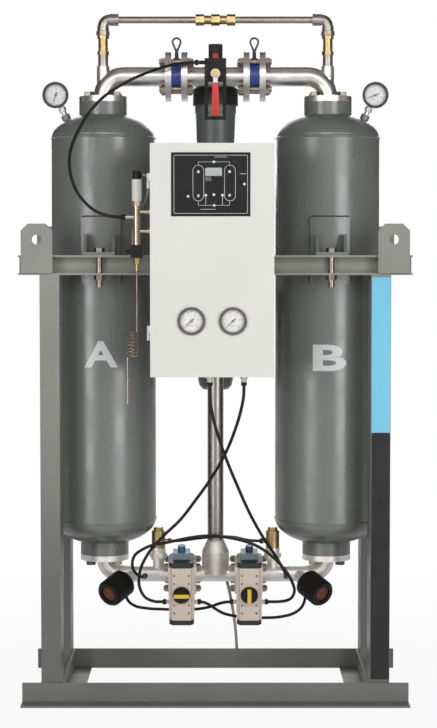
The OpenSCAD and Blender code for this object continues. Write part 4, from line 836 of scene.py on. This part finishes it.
# Terminal screws on the controller's lower steps
CONTROLLER_Z, STEP_FRONT = 1249.5, -266.3
TERMINAL_PITCH, TERMINAL_ROW = 11.5, 34
bm = bmesh.new()
for row in (-TERMINAL_ROW, TERMINAL_ROW):
    for k in range(10):
        spot = at(CABINET_X + TERMINAL_PITCH * (k - 4.5), STEP_FRONT, CONTROLLER_Z + row)
        turned(bm, SMALL, Matrix.Translation(spot) @ FACE_FRONT, 14)
add("terminal_screws", to_mesh(bm, "terminal_screws"), "dryer", M["bright"])


# Floor, background and light
def make_floor():
    """A plane that takes the object's shadow and fades to white away from it."""
    size = 30.0
    bm = bmesh.new()
    corners = [bm.verts.new((x * size, y * size, 0)) for x, y in ((-1, -1), (1, -1), (1, 1), (-1, 1))]
    bm.faces.new(corners)
    mesh = bpy.data.meshes.new("floor")
    bm.to_mesh(mesh)
    bm.free()
    floor = bpy.data.objects.new("floor", mesh)
    bpy.context.scene.collection.objects.link(floor)
    mat = bpy.data.materials.new("floor")
    mat.use_nodes = True
    tree = mat.node_tree
    bsdf = tree.nodes["Principled BSDF"]
    bsdf.inputs["Base Color"].default_value = (0.75, 0.75, 0.75, 1)
    bsdf.inputs["Roughness"].default_value = 0.9
    glow = tree.nodes.new("ShaderNodeEmission")
    glow.inputs["Color"].default_value = (1, 1, 1, 1)
    # Away from the object the floor seen by the camera fades to the white background
    coord = tree.nodes.new("ShaderNodeTexCoord")
    reach = tree.nodes.new("ShaderNodeVectorMath")
    reach.operation = "LENGTH"
    fade = tree.nodes.new("ShaderNodeMapRange")
    for key, number in (("From Min", 0.5), ("From Max", 2.2), ("To Min", 0.92), ("To Max", 1.0)):
        fade.inputs[key].default_value = number
    path = tree.nodes.new("ShaderNodeLightPath")
    seen = tree.nodes.new("ShaderNodeMath")
    seen.operation = "MULTIPLY"
    mirrored = tree.nodes.new("ShaderNodeMath")
    mirrored.operation = "MULTIPLY_ADD"
    mirrored.inputs[1].default_value = 0.6
    tree.links.new(coord.outputs["Object"], reach.inputs[0])
    tree.links.new(reach.outputs["Value"], fade.inputs["Value"])
    tree.links.new(fade.outputs["Result"], seen.inputs[0])
    tree.links.new(path.outputs["Is Camera Ray"], seen.inputs[1])
    tree.links.new(path.outputs["Is Glossy Ray"], mirrored.inputs[0])
    tree.links.new(seen.outputs[0], mirrored.inputs[2])
    mix = tree.nodes.new("ShaderNodeMixShader")
    tree.links.new(mirrored.outputs[0], mix.inputs["Fac"])
    tree.links.new(bsdf.outputs["BSDF"], mix.inputs[1])
    tree.links.new(glow.outputs["Emission"], mix.inputs[2])
    tree.links.new(mix.outputs["Shader"], tree.nodes["Material Output"].inputs["Surface"])
    mesh.materials.append(mat)


def make_world():
    """White to the camera; for the object a room that is bright in front and darker elsewhere."""
    world = bpy.data.worlds.new("studio")
    bpy.context.scene.world = world
    world.use_nodes = True
    tree = world.node_tree
    room = tree.nodes["Background"]
    room.inputs["Color"].default_value = (1, 0.985, 0.96, 1)
    coord = tree.nodes.new("ShaderNodeTexCoord")
    ahead = tree.nodes.new("ShaderNodeVectorMath")
    ahead.operation = "DOT_PRODUCT"
    ahead.inputs[1].default_value = (0, -1, 0.1)
    strength = tree.nodes.new("ShaderNodeMapRange")
    for key, number in (("From Min", 0.62), ("From Max", 0.99), ("To Min", 0.10), ("To Max", 0.75)):
        strength.inputs[key].default_value = number
    tree.links.new(coord.outputs["Generated"], ahead.inputs[0])
    tree.links.new(ahead.outputs["Value"], strength.inputs["Value"])
    tree.links.new(strength.outputs["Result"], room.inputs["Strength"])
    white = tree.nodes.new("ShaderNodeBackground")
    white.inputs["Color"].default_value = (1, 1, 1, 1)
    white.inputs["Strength"].default_value = 1.0
    path = tree.nodes.new("ShaderNodeLightPath")
    mix = tree.nodes.new("ShaderNodeMixShader")
    tree.links.new(path.outputs["Is Camera Ray"], mix.inputs["Fac"])
    tree.links.new(room.outputs["Background"], mix.inputs[1])
    tree.links.new(white.outputs["Background"], mix.inputs[2])
    tree.links.new(mix.outputs["Shader"], tree.nodes["World Output"].inputs["Surface"])


def lamp(name, place, target, energy, size):
    """An oblong area lamp turned to a target."""
    data = bpy.data.lights.new(name, "AREA")
    data.energy = energy
    data.shape = "RECTANGLE"
    data.size, data.size_y = size
    light = bpy.data.objects.new(name, data)
    light.location = place
    light.rotation_euler = (Vector(target) - Vector(place)).to_track_quat("-Z", "Y").to_euler()
    bpy.context.scene.collection.objects.link(light)


make_floor()
make_world()
lamp("softbox_left", (-2.1, -3.0, 1.25), (0, 0, 1.2), 39, (1.3, 2.4))
lamp("softbox_right", (2.0, -3.0, 1.25), (0, 0, 1.2), 47, (1.4, 2.4))
lamp("front_high", (0, -3.4, 2.6), (0, 0, 1.2), 20, (1.8, 1.0))
lamp("overhead", (0, -0.4, 4.2), (0, 0, 1.2), 4, (2.5, 2.0))
lamp("rear_fill", (0, 3.6, 2.4), (0, 0, 1.0), 70, (3.0, 2.0))
